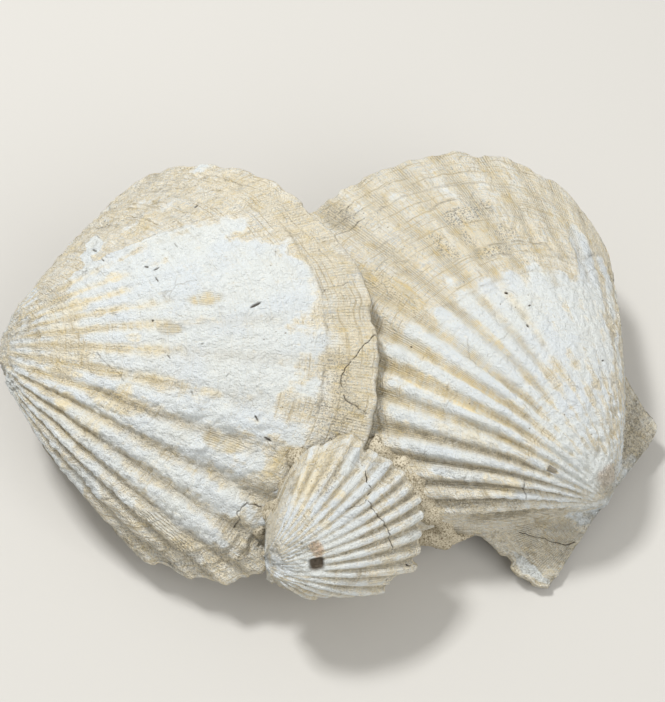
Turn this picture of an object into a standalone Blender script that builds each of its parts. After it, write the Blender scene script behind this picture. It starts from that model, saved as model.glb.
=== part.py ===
"""Fossil scallop cluster.

Two large fan-shaped scallop valves and one small valve, lying outside up and
overlapping, cemented together by a lump of sandy rock that stands on a small flat spot.
Lengths below are in millimetres and are turned into metres when a mesh is made.
"""
import math
from dataclasses import dataclass

import bmesh
import bpy
import numpy as np
from mathutils import Vector

MM = 0.001

# Overall choices
JOINT_GAP = 0.3
RIM_THICKNESS = 2.6
COLUMNS_PER_RIB = 4
CLEARANCE_RAISE = 1.4
CLEARANCE_REACH = 2.5
RIB_FADE_IN = 1.6
FLANK_ROUNDING = 2.4
BAND_EDGES = (0.0, 0.03, 0.08, 0.15, 0.25, 0.37, 0.5, 0.64, 0.78, 0.9, 1.0)

SHARP_ANGLE = 40.0

# Sandy rock
ROCK_GRAIN = 2.0
ROCK_KEPT_FACES = 0.02
ROCK_INSET_ANGLE = 4.0
ROCK_BANDS = (0.06, 0.2, 0.4, 0.6, 0.78, 0.9)
ROCK_COLUMNS = 15
ROCK_WALL = ((0.35, 0.12), (0.7, 0.52), (1.0, 1.0))
ROCK_ROOT_DEPTH = 5.0


@dataclass(frozen=True)
class Valve:
    """One scallop valve: a ribbed fan with its beak at the hinge.

    beak: position of the beak; axis: direction from the beak to the far margin;
    outward: direction the outside faces; margin: angle from the axis in degrees and
    distance from the beak, once round; flanks: angles where the dome meets the ears;
    furrows: angles of the furrows between the ribs; dome: height of the dome; crest:
    share of the length at which the dome is highest; fall: how full the dome stays
    towards the margin; lean: how far the umbo leans over the hinge; relief: rib height;
    thickness: of the shell wall; foot and spread: centre and size of the rock's foot below.
    """

    name: str
    beak: tuple
    axis: tuple
    outward: tuple
    margin: tuple
    flanks: tuple
    furrows: tuple
    dome: float
    crest: float
    fall: float
    lean: float
    relief: float
    thickness: float
    foot: tuple
    spread: float


LEFT = Valve(
    name="left_valve",
    beak=(-121.5, 4.1, 29.3),
    axis=(0.938, -0.224, 0.265),
    outward=(-0.335, -0.385, 0.86),
    margin=((-78, 15), (-66, 34), (-61, 60), (-57, 81), (-50, 97), (-43, 109), (-34, 122),
            (-24, 132), (-14, 142), (-4, 146), (6, 147), (14, 143), (24, 134), (34, 131),
            (40, 121), (45, 107), (50, 90), (52, 75), (54, 54), (59, 48), (63, 41), (69, 29),
            (78, 14)),
    flanks=(-63, 60),
    furrows=(-58, -53, -48, -43, -37, -31, -25, -19.5, -14, -8, -1, 7, 15, 22.5, 29.5, 35.5,
             40.5, 45.5, 51),
    dome=34, crest=0.34, fall=1.7, lean=4.0, relief=1.7, thickness=3.8,
    foot=(-20, -8), spread=0.3,
)
RIGHT = Valve(
    name="right_valve",
    beak=(100.2, -51.4, 9.0),
    axis=(-0.682, 0.633, 0.366),
    outward=(0.22, -0.3, 0.928),
    margin=((-100, 38), (-86, 42), (-71, 44), (-60, 48), (-57, 55), (-53, 88), (-45, 114),
            (-32, 138), (-18, 151), (-5, 156), (8, 154), (20, 150), (31, 141), (40, 127),
            (46, 111), (49, 102), (50, 90), (54, 67), (58, 54), (66, 48), (74, 44), (81, 42),
            (84, 37)),
    flanks=(-58, 58),
    furrows=(-52.5, -47.5, -42.5, -37, -31, -24.5, -18.5, -12.5, -6.5, 0.5, 7, 13, 20, 27,
             32.5, 37.5, 42.5, 48, 53),
    dome=34, crest=0.34, fall=1.7, lean=4.0, relief=2.2, thickness=3.8,
    foot=(22, 2), spread=0.3,
)
SMALL = Valve(
    name="small_valve",
    beak=(-23.7, -82.9, 36.8),
    axis=(0.904, 0.319, 0.285),
    outward=(0.014, -0.69, 0.724),
    margin=((-62, 12), (-52, 21), (-47, 35), (-38, 46), (-28, 54), (-22, 53), (-10, 56),
            (5, 58), (20, 55), (31, 53), (38, 46), (44, 44), (52, 34), (58, 28), (70, 23),
            (80, 18), (96, 13), (110, 10)),
    flanks=(-60, 100),
    furrows=(-43.5, -38.5, -33, -27, -21, -15, -9.5, -3.5, 2, 7.5, 14, 20.5, 27, 34, 41,
             48.5, 55, 63, 71),
    dome=15, crest=0.36, fall=1.8, lean=1.5, relief=1.8, thickness=2.2,
    foot=(2, -26), spread=0.5,
)
VALVES = (LEFT, RIGHT, SMALL)

# Lumps of rock squeezed out between the valves: centre and half sizes
ROCK_LUMPS = (
    ((15.0, -44.0, 46.0), (11.0, 12.0, 9.0)),
    ((26.0, -55.0, 38.0), (10.0, 9.0, 9.0)),
    ((-17.0, -67.0, 42.0), (9.0, 7.0, 7.0)),
    ((-27.0, -77.0, 31.0), (7.0, 6.0, 6.0)),
    ((38.0, -60.0, 16.0), (16.0, 10.0, 9.0)),
    ((-14.0, -60.0, 22.0), (17.0, 16.0, 16.0)),
    ((0.0, 8.0, 22.0), (72.0, 50.0, 26.0)),
)

# Colours from the photograph, linear, with roughness
FINISHES = {
    "left_valve": ((0.62, 0.60, 0.54, 1.0), 0.62),
    "right_valve": ((0.66, 0.61, 0.50, 1.0), 0.66),
    "small_valve": ((0.58, 0.56, 0.48, 1.0), 0.68),
    "sandy_rock": ((0.33, 0.29, 0.21, 1.0), 0.92),
}


def unit(vector):
    """Return the vector at length one."""
    array = np.asarray(vector, float)
    return array / np.linalg.norm(array)


def smooth_curve(points, at):
    """Run a rounded curve that never overshoots through the points and read it.

    Args: points as pairs of place and value, in rising order; at, the places to read.
    Returns: the values there.
    """
    xs = np.array([p[0] for p in points], float)
    ys = np.array([p[1] for p in points], float)
    at = np.asarray(at, float)
    steps = np.diff(xs)
    slopes = np.diff(ys) / steps
    product = slopes[1:] * slopes[:-1]
    total = np.where(product > 0, slopes[1:] + slopes[:-1], 1.0)
    tangents = np.concatenate(([slopes[0]], np.where(product > 0, 2 * product / total, 0), [slopes[-1]]))
    i = np.clip(np.searchsorted(xs, at, side="right") - 1, 0, len(xs) - 2)
    t = np.clip((at - xs[i]) / steps[i], 0, 1)
    start = (2 * t**3 - 3 * t**2 + 1) * ys[i] + (t**3 - 2 * t**2 + t) * steps[i] * tangents[i]
    end = (3 * t**2 - 2 * t**3) * ys[i + 1] + (t**3 - t**2) * steps[i] * tangents[i + 1]
    return start + end


def dome_height(valve, angle, share):
    """Height of the rib-free outside above the margin's plane.

    Args: angle from the axis in degrees; share of the way from beak to margin.
    Returns: height in millimetres.
    """
    rise = np.sqrt(np.clip(1 - (1 - share / valve.crest) ** 2, 0, 1))
    beyond = np.clip((share - valve.crest) / (1 - valve.crest), 0, 1)
    profile = np.where(share < valve.crest, rise, 1 - beyond**valve.fall)
    limit = np.where(angle > 0, valve.flanks[1], -valve.flanks[0])
    across = np.sqrt(np.clip(1 - np.abs(angle / limit) ** FLANK_ROUNDING, 0, 1))
    return valve.dome * profile * across, across


def rib_height(valve, angle, share):
    """Height of the ribs above and below the mean surface."""
    phase = np.interp(angle, valve.furrows, np.arange(len(valve.furrows)))
    _, across = dome_height(valve, angle, share)
    inside = (angle > valve.furrows[0]) & (angle < valve.furrows[-1])
    wave = np.where(inside, -np.cos(2 * math.pi * phase), -1.0)
    fade = np.minimum(1, share * RIB_FADE_IN) * np.minimum(1, across * 3)
    return valve.relief / 2 * wave * fade


def flat_place(valve, angle, share, grow):
    """Place across the margin's plane: along the hinge and along the axis."""
    reach = smooth_curve(valve.margin, angle) + grow * (share >= 1)
    _, across = dome_height(valve, angle, share)
    lean = valve.lean * np.sin(math.pi * np.clip(share / valve.crest, 0, 1)) * across**4
    turn = np.radians(angle)
    return share * reach * np.sin(turn), share * reach * np.cos(turn) - lean


def wall_depth(valve, angle, share):
    """Straight-down thickness that gives the same wall thickness on a slope."""
    step = 0.01
    inner = np.clip(share - step, 0, 1)
    outer = np.clip(share + step, 0, 1)
    reach = smooth_curve(valve.margin, angle)
    rise, _ = dome_height(valve, angle, outer)
    fall, _ = dome_height(valve, angle, inner)
    along = (rise - fall) / ((outer - inner) * reach)
    left, _ = dome_height(valve, angle - 1.0, share)
    right, _ = dome_height(valve, angle + 1.0, share)
    sideways = (right - left) / (math.radians(2.0) * np.maximum(share, 0.05) * reach)
    return valve.thickness * np.sqrt(1 + along**2 + sideways**2)


def to_world(valve, x, y, z):
    """Turn places in the valve's own frame into places in the cluster."""
    axis = unit(valve.axis)
    outward = unit(valve.outward)
    axis = unit(axis - outward * (axis @ outward))
    hinge = np.cross(axis, outward)
    parts = x[..., None] * hinge + y[..., None] * axis + z[..., None] * outward
    return np.asarray(valve.beak) + parts


def rib_columns(valve):
    """Angles of the mesh columns: ears, then every furrow, rib flank and crest.

    Returns: the angles of the outside, and which of them the smoother inside uses.
    """
    furrows = np.array(valve.furrows, float)
    steps = np.linspace(0, len(furrows) - 1, COLUMNS_PER_RIB * (len(furrows) - 1) + 1)
    ribbed = np.interp(steps, np.arange(len(furrows)), furrows)
    low = [p[0] for p in valve.margin if p[0] < furrows[0] - 2]
    high = [p[0] for p in valve.margin if p[0] > furrows[-1] + 2]
    kept = list(range(len(low)))
    kept += list(range(len(low), len(low) + len(ribbed), COLUMNS_PER_RIB))
    kept += list(range(len(low) + len(ribbed), len(low) + len(ribbed) + len(high)))
    return np.array(low + list(ribbed) + high), kept


def outside_grid(valve, angles, raise_by=0.0, grow=0.0, ribs=True):
    """Points of the outside surface, one row per band edge."""
    angle, share = np.meshgrid(angles, np.array(BAND_EDGES))
    height, _ = dome_height(valve, angle, share)
    relief = rib_height(valve, angle, share) if ribs else 0.0
    x, y = flat_place(valve, angle, share, grow)
    return to_world(valve, x, y, height + relief + raise_by)


def inside_grid(valve, angles, extra=0.0, grow=0.0):
    """Points of the inside surface, one row per band edge."""
    angle, share = np.meshgrid(angles, np.array(BAND_EDGES))
    height, _ = dome_height(valve, angle, share)
    depth = wall_depth(valve, angle, share) * (valve.thickness + extra) / valve.thickness
    floor = np.maximum(height - depth, -RIM_THICKNESS - extra)
    last_band = (share[-1] - share[-2]) * smooth_curve(valve.margin, angle[-1])
    floor[-1] -= grow * np.maximum(floor[-2] - floor[-1], 0) / last_band
    x, y = flat_place(valve, angle, share, grow)
    return to_world(valve, x, y, floor)


def make_object(name, points, faces):
    """Make a mesh object with closed, outward-facing surface from millimetre points."""
    mesh = bpy.data.meshes.new(name)
    mesh.from_pydata([tuple(p) for p in np.asarray(points) * MM], [], faces)
    body = bmesh.new()
    body.from_mesh(mesh)
    bmesh.ops.triangulate(body, faces=body.faces[:])
    bmesh.ops.recalc_face_normals(body, faces=body.faces[:])
    body.to_mesh(mesh)
    body.free()
    thing = bpy.data.objects.new(name, mesh)
    bpy.context.scene.collection.objects.link(thing)
    return thing


def close_shell(name, top, bottom, kept):
    """Join an outside grid and a coarser inside grid into one closed plate.

    Args: top and bottom, grids of points whose first row is the beak; kept, the outside
    column that each inside column lies under.
    Returns: the new object.
    """
    rows, wide, _ = top.shape
    narrow = bottom.shape[1]
    points = [top[0, 0]] + list(top[1:].reshape(-1, 3))
    shift = len(points)
    points += [bottom[0, 0]] + list(bottom[1:].reshape(-1, 3))

    def over(row, column):
        return 0 if row == 0 else 1 + (row - 1) * wide + column

    def under(row, column):
        return shift if row == 0 else shift + 1 + (row - 1) * narrow + column

    faces = []

    def add_skin(place, columns):
        for column in range(columns - 1):
            faces.append((place(0, 0), place(1, column), place(1, column + 1)))
            for row in range(1, rows - 1):
                corner = place(row + 1, column + 1)
                faces.append((place(row, column), place(row + 1, column), corner))
                faces.append((place(row, column), corner, place(row, column + 1)))

    add_skin(over, wide)
    add_skin(under, narrow)
    last = rows - 1
    for column in range(narrow - 1):
        low, high = under(last, column), under(last, column + 1)
        start, end = kept[column], kept[column + 1]
        half = (start + end) // 2
        for k in range(start, end):
            foot = low if k < half or end - start == 1 else high
            faces.append((foot, over(last, k), over(last, k + 1)))
        middle = end if end - start == 1 else half
        faces.append((low, high, over(last, middle)))
    for column, below in ((0, 0), (wide - 1, narrow - 1)):
        for row in range(rows - 1):
            faces.append((over(row, column), over(row + 1, column), under(row + 1, below)))
            faces.append((over(row, column), under(row + 1, below), under(row, below)))
    return make_object(name, points, [f for f in faces if len(set(f)) == 3])


def build_valve(valve):
    """Make one ribbed valve with its ears as a single closed plate."""
    angles, kept = rib_columns(valve)
    return close_shell(valve.name, outside_grid(valve, angles), inside_grid(valve, angles[kept]), kept)


def build_clearance(valve):
    """Make the slightly larger body that keeps rock out of the valve's own space."""
    angles, kept = rib_columns(valve)
    angles = angles[kept]
    above = valve.relief / 2 + CLEARANCE_RAISE
    top = outside_grid(valve, angles, above, CLEARANCE_REACH, ribs=False)
    bottom = inside_grid(valve, angles, JOINT_GAP, CLEARANCE_REACH)
    return close_shell(valve.name + "_clearance", top, bottom, list(range(len(angles))))


def build_rock_stem(valve):
    """Make the rock that fills the valve and runs down to the common foot."""
    low = valve.flanks[0] + ROCK_INSET_ANGLE
    high = min(valve.flanks[1] - ROCK_INSET_ANGLE, valve.furrows[-1])
    angle, share = np.meshgrid(np.linspace(low, high, ROCK_COLUMNS), np.array(ROCK_BANDS))
    height, _ = dome_height(valve, angle, share)
    x, y = flat_place(valve, angle, share, 0.0)
    middle = np.maximum(height - valve.thickness / 2, -RIM_THICKNESS / 2)
    top = to_world(valve, x, y, middle)
    rows, columns, _ = top.shape
    points = list(top.reshape(-1, 3))
    faces = []
    for row in range(rows - 1):
        for column in range(columns - 1):
            a = row * columns + column
            faces.append((a, a + columns, a + columns + 1, a + 1))
    ring = [row * columns for row in range(rows)]
    ring += [(rows - 1) * columns + column for column in range(1, columns)]
    ring += [row * columns + columns - 1 for row in range(rows - 2, -1, -1)]
    ring += list(range(columns - 2, 0, -1))
    edge = np.array([points[i] for i in ring])
    centre = edge.mean(axis=0)
    foot = np.column_stack((np.asarray(valve.foot) + (edge - centre)[:, :2] * valve.spread,
                            np.full(len(edge), -ROCK_ROOT_DEPTH)))
    previous = ring
    for down, inward in ROCK_WALL:
        level = edge[:, 2] + (foot[:, 2] - edge[:, 2]) * down
        flat = edge[:, :2] + (foot[:, :2] - edge[:, :2]) * inward
        start = len(points)
        points += list(np.column_stack((flat, level)))
        current = list(range(start, start + len(ring)))
        for k in range(len(ring)):
            j = (k + 1) % len(ring)
            faces.append((previous[k], previous[j], current[j], current[k]))
        previous = current
    faces.append(tuple(previous))
    return make_object(valve.name + "_stem", points, faces)


def build_rock_lump(number, centre, half_sizes):
    """Make one rounded lump of rock."""
    body = bmesh.new()
    bmesh.ops.create_icosphere(body, subdivisions=3, radius=1.0)
    for corner in body.verts:
        wobble = 1 + 0.08 * math.sin(5 * corner.co.x + number) * math.cos(4 * corner.co.y - corner.co.z)
        corner.co = Vector([(c + h * wobble * d) * MM for c, h, d in zip(centre, half_sizes, corner.co)])
    mesh = bpy.data.meshes.new("lump")
    body.to_mesh(mesh)
    body.free()
    thing = bpy.data.objects.new("lump", mesh)
    bpy.context.scene.collection.objects.link(thing)
    return thing


def applied(thing, kind, **settings):
    """Bake one modifier into the object's mesh."""
    modifier = thing.modifiers.new("step", kind)
    for key, value in settings.items():
        setattr(modifier, key, value)
    view = bpy.context.evaluated_depsgraph_get()
    mesh = bpy.data.meshes.new_from_object(thing.evaluated_get(view))
    thing.modifiers.remove(modifier)
    old = thing.data
    thing.data = mesh
    bpy.data.meshes.remove(old)
    return thing


def join_loose(parts):
    """Put several closed bodies into the first one's mesh."""
    body = bmesh.new()
    for part in parts:
        body.from_mesh(part.data)
    first = parts[0]
    body.to_mesh(first.data)
    body.free()
    for part in parts[1:]:
        bpy.data.objects.remove(part)
    return first


def cut_flat_foot(thing):
    """Cut the rock off level at the ground, leaving a flat face to stand on."""
    body = bmesh.new()
    body.from_mesh(thing.data)
    geometry = body.verts[:] + body.edges[:] + body.faces[:]
    cut = bmesh.ops.bisect_plane(body, geom=geometry, dist=1e-6, plane_co=(0, 0, 0),
                                 plane_no=(0, 0, -1), clear_outer=True)
    edges = [e for e in cut["geom_cut"] if isinstance(e, bmesh.types.BMEdge)]
    bmesh.ops.contextual_create(body, geom=edges)
    bmesh.ops.triangulate(body, faces=body.faces[:])
    bmesh.ops.recalc_face_normals(body, faces=body.faces[:])
    body.to_mesh(thing.data)
    body.free()


def keep_main_body(thing):
    """Drop crumbs cut loose from the main rock and tidy what is left."""
    body = bmesh.new()
    body.from_mesh(thing.data)
    bmesh.ops.remove_doubles(body, verts=body.verts[:], dist=1e-5)
    bmesh.ops.dissolve_degenerate(body, edges=body.edges[:], dist=1e-6)
    groups = []
    seen = set()
    for start in body.faces:
        if start in seen:
            continue
        group = [start]
        seen.add(start)
        for face in group:
            for edge in face.edges:
                for other in edge.link_faces:
                    if other not in seen:
                        seen.add(other)
                        group.append(other)
        groups.append(group)
    groups.sort(key=lambda g: -sum(f.calc_area() for f in g))
    crumbs = [face for group in groups[1:] for face in group]
    if crumbs:
        bmesh.ops.delete(body, geom=crumbs, context="FACES")
    bmesh.ops.triangulate(body, faces=body.faces[:])
    bmesh.ops.recalc_face_normals(body, faces=body.faces[:])
    body.to_mesh(thing.data)
    body.free()


def build_rock():
    """Make the sandy rock that fills the valves and cements them together."""
    parts = [build_rock_stem(valve) for valve in VALVES]
    parts += [build_rock_lump(k, c, h) for k, (c, h) in enumerate(ROCK_LUMPS)]
    rock = join_loose(parts)
    rock.name = "sandy_rock"
    applied(rock, "REMESH", mode="VOXEL", voxel_size=ROCK_GRAIN * MM)
    applied(rock, "DECIMATE", decimate_type="COLLAPSE", ratio=ROCK_KEPT_FACES)
    cut_flat_foot(rock)
    for valve in VALVES:
        clearance = build_clearance(valve)
        clearance.hide_render = True
        clearance.display_type = "WIRE"
        applied(rock, "BOOLEAN", operation="DIFFERENCE", solver="EXACT", use_self=True,
                object=clearance)
        bpy.data.objects.remove(clearance)
    keep_main_body(rock)
    return rock


def give_finish(thing):
    """Give the piece its own material with colour and roughness."""
    colour, roughness = FINISHES[thing.name]
    material = bpy.data.materials.new(thing.name)
    material.use_nodes = True
    surface = material.node_tree.nodes["Principled BSDF"]
    surface.inputs["Base Color"].default_value = colour
    surface.inputs["Roughness"].default_value = roughness
    surface.inputs["Metallic"].default_value = 0.0
    material.diffuse_color = colour
    thing.data.materials.clear()
    thing.data.materials.append(material)
    thing.data.shade_smooth()
    thing.data.set_sharp_from_angle(angle=math.radians(SHARP_ANGLE))


def centre_on_floor(things):
    """Move the meshes so the cluster's box stands centred on the origin."""
    corners = np.array([tuple(v.co) for thing in things for v in thing.data.vertices])
    low, high = corners.min(axis=0), corners.max(axis=0)
    move = Vector((-(low[0] + high[0]) / 2, -(low[1] + high[1]) / 2, -low[2]))
    for thing in things:
        for vertex in thing.data.vertices:
            vertex.co += move


def main():
    """Build the four pieces of the cluster."""
    for thing in list(bpy.data.objects):
        bpy.data.objects.remove(thing)
    pieces = [build_valve(valve) for valve in VALVES]
    pieces.append(build_rock())
    for piece in pieces:
        give_finish(piece)
    centre_on_floor(pieces)


main()
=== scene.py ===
"""Looks of a fossil scallop cluster: three worn valves cemented together by sandy rock.

Each valve is a ribbed plate laid out round its beak and sculpted by a node tree. The rock is
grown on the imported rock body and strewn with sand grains. Sizes are in millimetres, apart
from those of the lights and the floor.
"""

import itertools
import logging
import math
from dataclasses import dataclass
from enum import Enum
from functools import partial, reduce
from typing import Any, Callable, Sequence

import bmesh
import bpy
import numpy as np
from mathutils import Matrix, Vector
from mathutils.bvhtree import BVHTree


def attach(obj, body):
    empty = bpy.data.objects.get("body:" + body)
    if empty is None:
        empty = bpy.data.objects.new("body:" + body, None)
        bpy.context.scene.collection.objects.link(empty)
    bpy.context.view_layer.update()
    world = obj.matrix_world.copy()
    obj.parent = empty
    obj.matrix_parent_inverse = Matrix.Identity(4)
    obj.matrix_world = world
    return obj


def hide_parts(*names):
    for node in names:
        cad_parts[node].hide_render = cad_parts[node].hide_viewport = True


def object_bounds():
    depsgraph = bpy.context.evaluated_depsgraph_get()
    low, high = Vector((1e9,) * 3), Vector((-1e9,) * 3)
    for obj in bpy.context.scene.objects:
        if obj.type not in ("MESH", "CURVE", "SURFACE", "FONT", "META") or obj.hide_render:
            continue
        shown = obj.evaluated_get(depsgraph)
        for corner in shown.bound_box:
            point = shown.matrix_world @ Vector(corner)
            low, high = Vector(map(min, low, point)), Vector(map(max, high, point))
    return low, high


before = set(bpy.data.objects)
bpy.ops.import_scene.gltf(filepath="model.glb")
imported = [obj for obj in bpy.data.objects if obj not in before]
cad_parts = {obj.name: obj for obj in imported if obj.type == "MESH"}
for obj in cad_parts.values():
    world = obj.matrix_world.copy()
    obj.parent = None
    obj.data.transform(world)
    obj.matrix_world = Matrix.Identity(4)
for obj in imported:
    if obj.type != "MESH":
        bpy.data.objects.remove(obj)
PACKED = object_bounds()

LOG = logging.getLogger("cluster")
MM = 0.001
CLUSTER_SHIFT = (-0.613, 9.701, 0.0)  # from the place where it was laid out to the centred box
FAR = 1e9  # further than anything is
RIBLET_REACH = 150.0  # how far from the beak the riblets' pitch is measured
# Shares at which the inside has rows of points.
INNER_SHARES = (1.0, 0.985, 0.96, 0.92, 0.86, 0.78, 0.68, 0.56, 0.44, 0.33, 0.23, 0.15, 0.08, 0.03)
OUTER_STEPS = ((0.14, 4), (0.42, 2), (FAR, 1))  # columns that a row skips, below each share
INNER_STEPS = ((0.3, 8), (0.97, 4), (FAR, 1))
RIM_SIDES = (0.3, 0.7)  # rows that round the margin between outside and inside
PATCH_EDGE = (1.15, 0.75)  # where a patch fades in and where it is full, in half widths
PIT_EDGE = (1.15, 0.7)
CRACK_DEPTH = 0.6  # what the node tree's cracks already take off a pit's depth
PATCH_RAGGED = (0.35, 0.25)  # how far the wide and the fine clouds push a patch's edge
ZONE_RAGGED = (0.02, 0.012)  # the same for a zone, as shares
LEDGE_RAGGED = (0.006, 0.006)
LEDGE_ENDS = 2.5  # degrees over which a ledge runs out at its ends
LEDGE_FADE = (14.0, 2.0)  # millimetres beyond its edge over which a ledge levels out
Curve = Sequence[tuple[float, float]]
Put = Callable[..., Any]  # add_node for one tree


class Mark(Enum):
    """What a patch, line or zone of a valve adds to its surface."""

    CREAM = "cream"
    OCHRE = "ochre"
    GRIME = "grime"
    WHITE = "white"
    RIBLETS = "riblets"
    GRAIN = "grain"
    WRINKLE = "wrinkle"
    CRACK = "crack"
    SMOOTH = "smooth"
    BOLD = "bold"
    FURROW_OCHRE = "furrow_ochre"
    FURROW_GRIME = "furrow_grime"
    FURROW_RIBLETS = "furrow_riblets"
    RUST = "rust"
    SPECKS = "specks"


class Node(Enum):
    """Each kind of node: its type, its settings, its inputs as they are given, and its output."""

    ADD = ("ShaderNodeMath", {"operation": "ADD"}, (0, 1), 0)
    SUBTRACT = ("ShaderNodeMath", {"operation": "SUBTRACT"}, (0, 1), 0)
    MULTIPLY = ("ShaderNodeMath", {"operation": "MULTIPLY"}, (0, 1), 0)
    DIVIDE = ("ShaderNodeMath", {"operation": "DIVIDE"}, (0, 1), 0)
    POWER = ("ShaderNodeMath", {"operation": "POWER"}, (0, 1), 0)
    MINIMUM = ("ShaderNodeMath", {"operation": "MINIMUM"}, (0, 1), 0)
    MAXIMUM = ("ShaderNodeMath", {"operation": "MAXIMUM"}, (0, 1), 0)
    SINE = ("ShaderNodeMath", {"operation": "SINE"}, (0,), 0)
    COSINE = ("ShaderNodeMath", {"operation": "COSINE"}, (0,), 0)
    SHIFT = ("ShaderNodeVectorMath", {"operation": "ADD"}, (0, 1), 0)
    STRETCH = ("ShaderNodeVectorMath", {"operation": "SCALE"}, (0, "Scale"), 0)
    COMBINE = ("ShaderNodeCombineXYZ", {}, (0, 1, 2), 0)
    RAMP = ("ShaderNodeMapRange", {}, ("Value", "From Min", "From Max"), 0)
    SPREAD = ("ShaderNodeMapRange", {"interpolation_type": "SMOOTHSTEP"},
              ("Value", "From Min", "From Max", "To Min", "To Max"), 0)
    BLEND = ("ShaderNodeMix", {"data_type": "RGBA"}, ("Factor", 6, 7), 2)
    NOISE = ("ShaderNodeTexNoise", {}, ("Vector", "Scale", "Detail", "Roughness", "Distortion"), "Fac")
    CELLS = ("ShaderNodeTexVoronoi", {}, ("Vector", "Scale"), "Distance")
    PLACE = ("ShaderNodeTexCoord", {}, (), "Object")
    OWN = ("ShaderNodeAttribute", {}, (), "Fac")
    BUMP = ("ShaderNodeBump", {}, ("Height", "Distance", "Strength"), 0)
    SURFACE = ("ShaderNodeBsdfPrincipled", {},
               ("Base Color", "Roughness", "Specular IOR Level", "Normal"), 0)
    MATERIAL = ("ShaderNodeOutputMaterial", {}, ("Surface",), None)
    GIVEN = ("NodeGroupInput", {}, (), 0)
    NAMED = ("GeometryNodeInputNamedAttribute", {"data_type": "FLOAT"}, ("Name",), "Attribute")
    POSITION = ("GeometryNodeInputPosition", {}, (), 0)
    NORMAL = ("GeometryNodeInputNormal", {}, (), 0)
    RANDOM = ("FunctionNodeRandomValue", {}, (2, 3, "Seed"), 1)
    STORE = ("GeometryNodeStoreNamedAttribute", {"data_type": "FLOAT"}, ("Geometry", "Name", "Value"), 0)
    MOVE = ("GeometryNodeSetPosition", {}, ("Geometry", "Offset"), 0)
    SMOOTH = ("GeometryNodeSetShadeSmooth", {}, ("Geometry",), 0)
    STREW = ("GeometryNodeDistributePointsOnFaces", {}, ("Mesh", "Density", "Seed"), "Points")
    BALL = ("GeometryNodeMeshIcoSphere", {}, ("Radius", "Subdivisions"), "Mesh")
    PLANT = ("GeometryNodeInstanceOnPoints", {}, ("Points", "Instance", "Rotation", "Scale"), 0)
    REALIZE = ("GeometryNodeRealizeInstances", {}, ("Geometry",), 0)
    DRESS = ("GeometryNodeSetMaterial", {}, ("Geometry", "Material"), 0)
    RESULT = ("NodeGroupOutput", {}, ("Geometry",), None)


def unit(vector: Sequence[float]) -> np.ndarray:
    """Return the vector at length one."""
    array = np.asarray(vector, float)
    return array / np.linalg.norm(array)


def ease(value: np.ndarray, low: float, high: float) -> np.ndarray:
    """Rise smoothly from 0 at low to 1 at high; falls when low is above high.

    Args:
        value: what to read.
        low: where the rise starts.
        high: where it ends.

    Returns:
        One share from 0 to 1 for each value.
    """
    share = np.clip((value - low) / (high - low), 0, 1)
    return share * share * (3 - 2 * share)


def lattice_noise(places: np.ndarray, size: float, seed: int) -> np.ndarray:
    """Read smooth lattice noise.

    Args:
        places: points in millimetres, one row each.
        size: width of one lattice cell in millimetres.
        seed: picks the pattern.

    Returns:
        One value from -1 to 1 for each point.
    """
    scaled = places / size + seed * 13.37
    cell = np.floor(scaled).astype(np.int64)
    part = scaled - cell
    part = part * part * (3 - 2 * part)
    total = np.zeros(len(places))
    for corner in itertools.product((0, 1), repeat=3):
        spot = cell + corner
        mixed = spot[:, 0] * 374761393 + spot[:, 1] * 668265263 + spot[:, 2] * 1274126177
        mixed = (mixed ^ (mixed >> 13)) & 0xFFFFFFFF
        mixed = (mixed * 1103515245 + 12345) & 0xFFFFFFFF
        value = ((mixed >> 9) & 0xFFFF) / 32767.5 - 1
        weight = np.prod(np.where(np.array(corner) == 1, part, 1 - part), axis=1)
        total += weight * value
    return total


def cloud_noise(places: np.ndarray, size: float, seed: int, layers: int = 3) -> np.ndarray:
    """Add several layers of lattice noise, each half as wide and half as strong.

    Args:
        places: points in millimetres, one row each.
        size: width of the widest cells in millimetres.
        seed: picks the pattern.
        layers: how many layers are added.

    Returns:
        One value from -1 to 1 for each point.
    """
    total = np.zeros(len(places))
    for layer in range(layers):
        total += lattice_noise(places, size / 2**layer, seed + layer) / 2**layer
    return total / (2 - 0.5 ** (layers - 1))


def smooth_curve(points: Curve, at: np.ndarray) -> np.ndarray:
    """Run a rounded curve that never overshoots through the points and read it.

    Args:
        points: pairs of place and value, in rising order of place.
        at: the places to read.

    Returns:
        The values there.
    """
    xs = np.array([p[0] for p in points], float)
    ys = np.array([p[1] for p in points], float)
    steps = np.diff(xs)
    slopes = np.diff(ys) / steps
    product = slopes[1:] * slopes[:-1]
    total = np.where(product > 0, slopes[1:] + slopes[:-1], 1.0)
    inner = np.where(product > 0, 2 * product / total, 0)
    tangents = np.concatenate(([slopes[0]], inner, [slopes[-1]]))
    i = np.clip(np.searchsorted(xs, at, side="right") - 1, 0, len(xs) - 2)
    t = np.clip((at - xs[i]) / steps[i], 0, 1)
    start = (2 * t**3 - 3 * t**2 + 1) * ys[i] + (t**3 - 2 * t**2 + t) * steps[i] * tangents[i]
    end = (3 * t**2 - 2 * t**3) * ys[i + 1] + (t**3 - t**2) * steps[i] * tangents[i + 1]
    return start + end


def straight_curve(points: Curve, at: np.ndarray) -> np.ndarray:
    """Read a curve of straight pieces through the points."""
    return np.interp(at, *np.transpose(points))


def linear(colour: str) -> tuple[float, float, float, float]:
    """Turn an sRGB hex colour into the linear values that shaders take.

    Args:
        colour: the colour as # and six digits.

    Returns:
        Red, green, blue and full opacity.
    """
    parts = [int(colour[i : i + 2], 16) / 255 for i in (1, 3, 5)]
    parts = [c / 12.92 if c <= 0.04045 else ((c + 0.055) / 1.055) ** 2.4 for c in parts]
    return (parts[0], parts[1], parts[2], 1.0)


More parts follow.
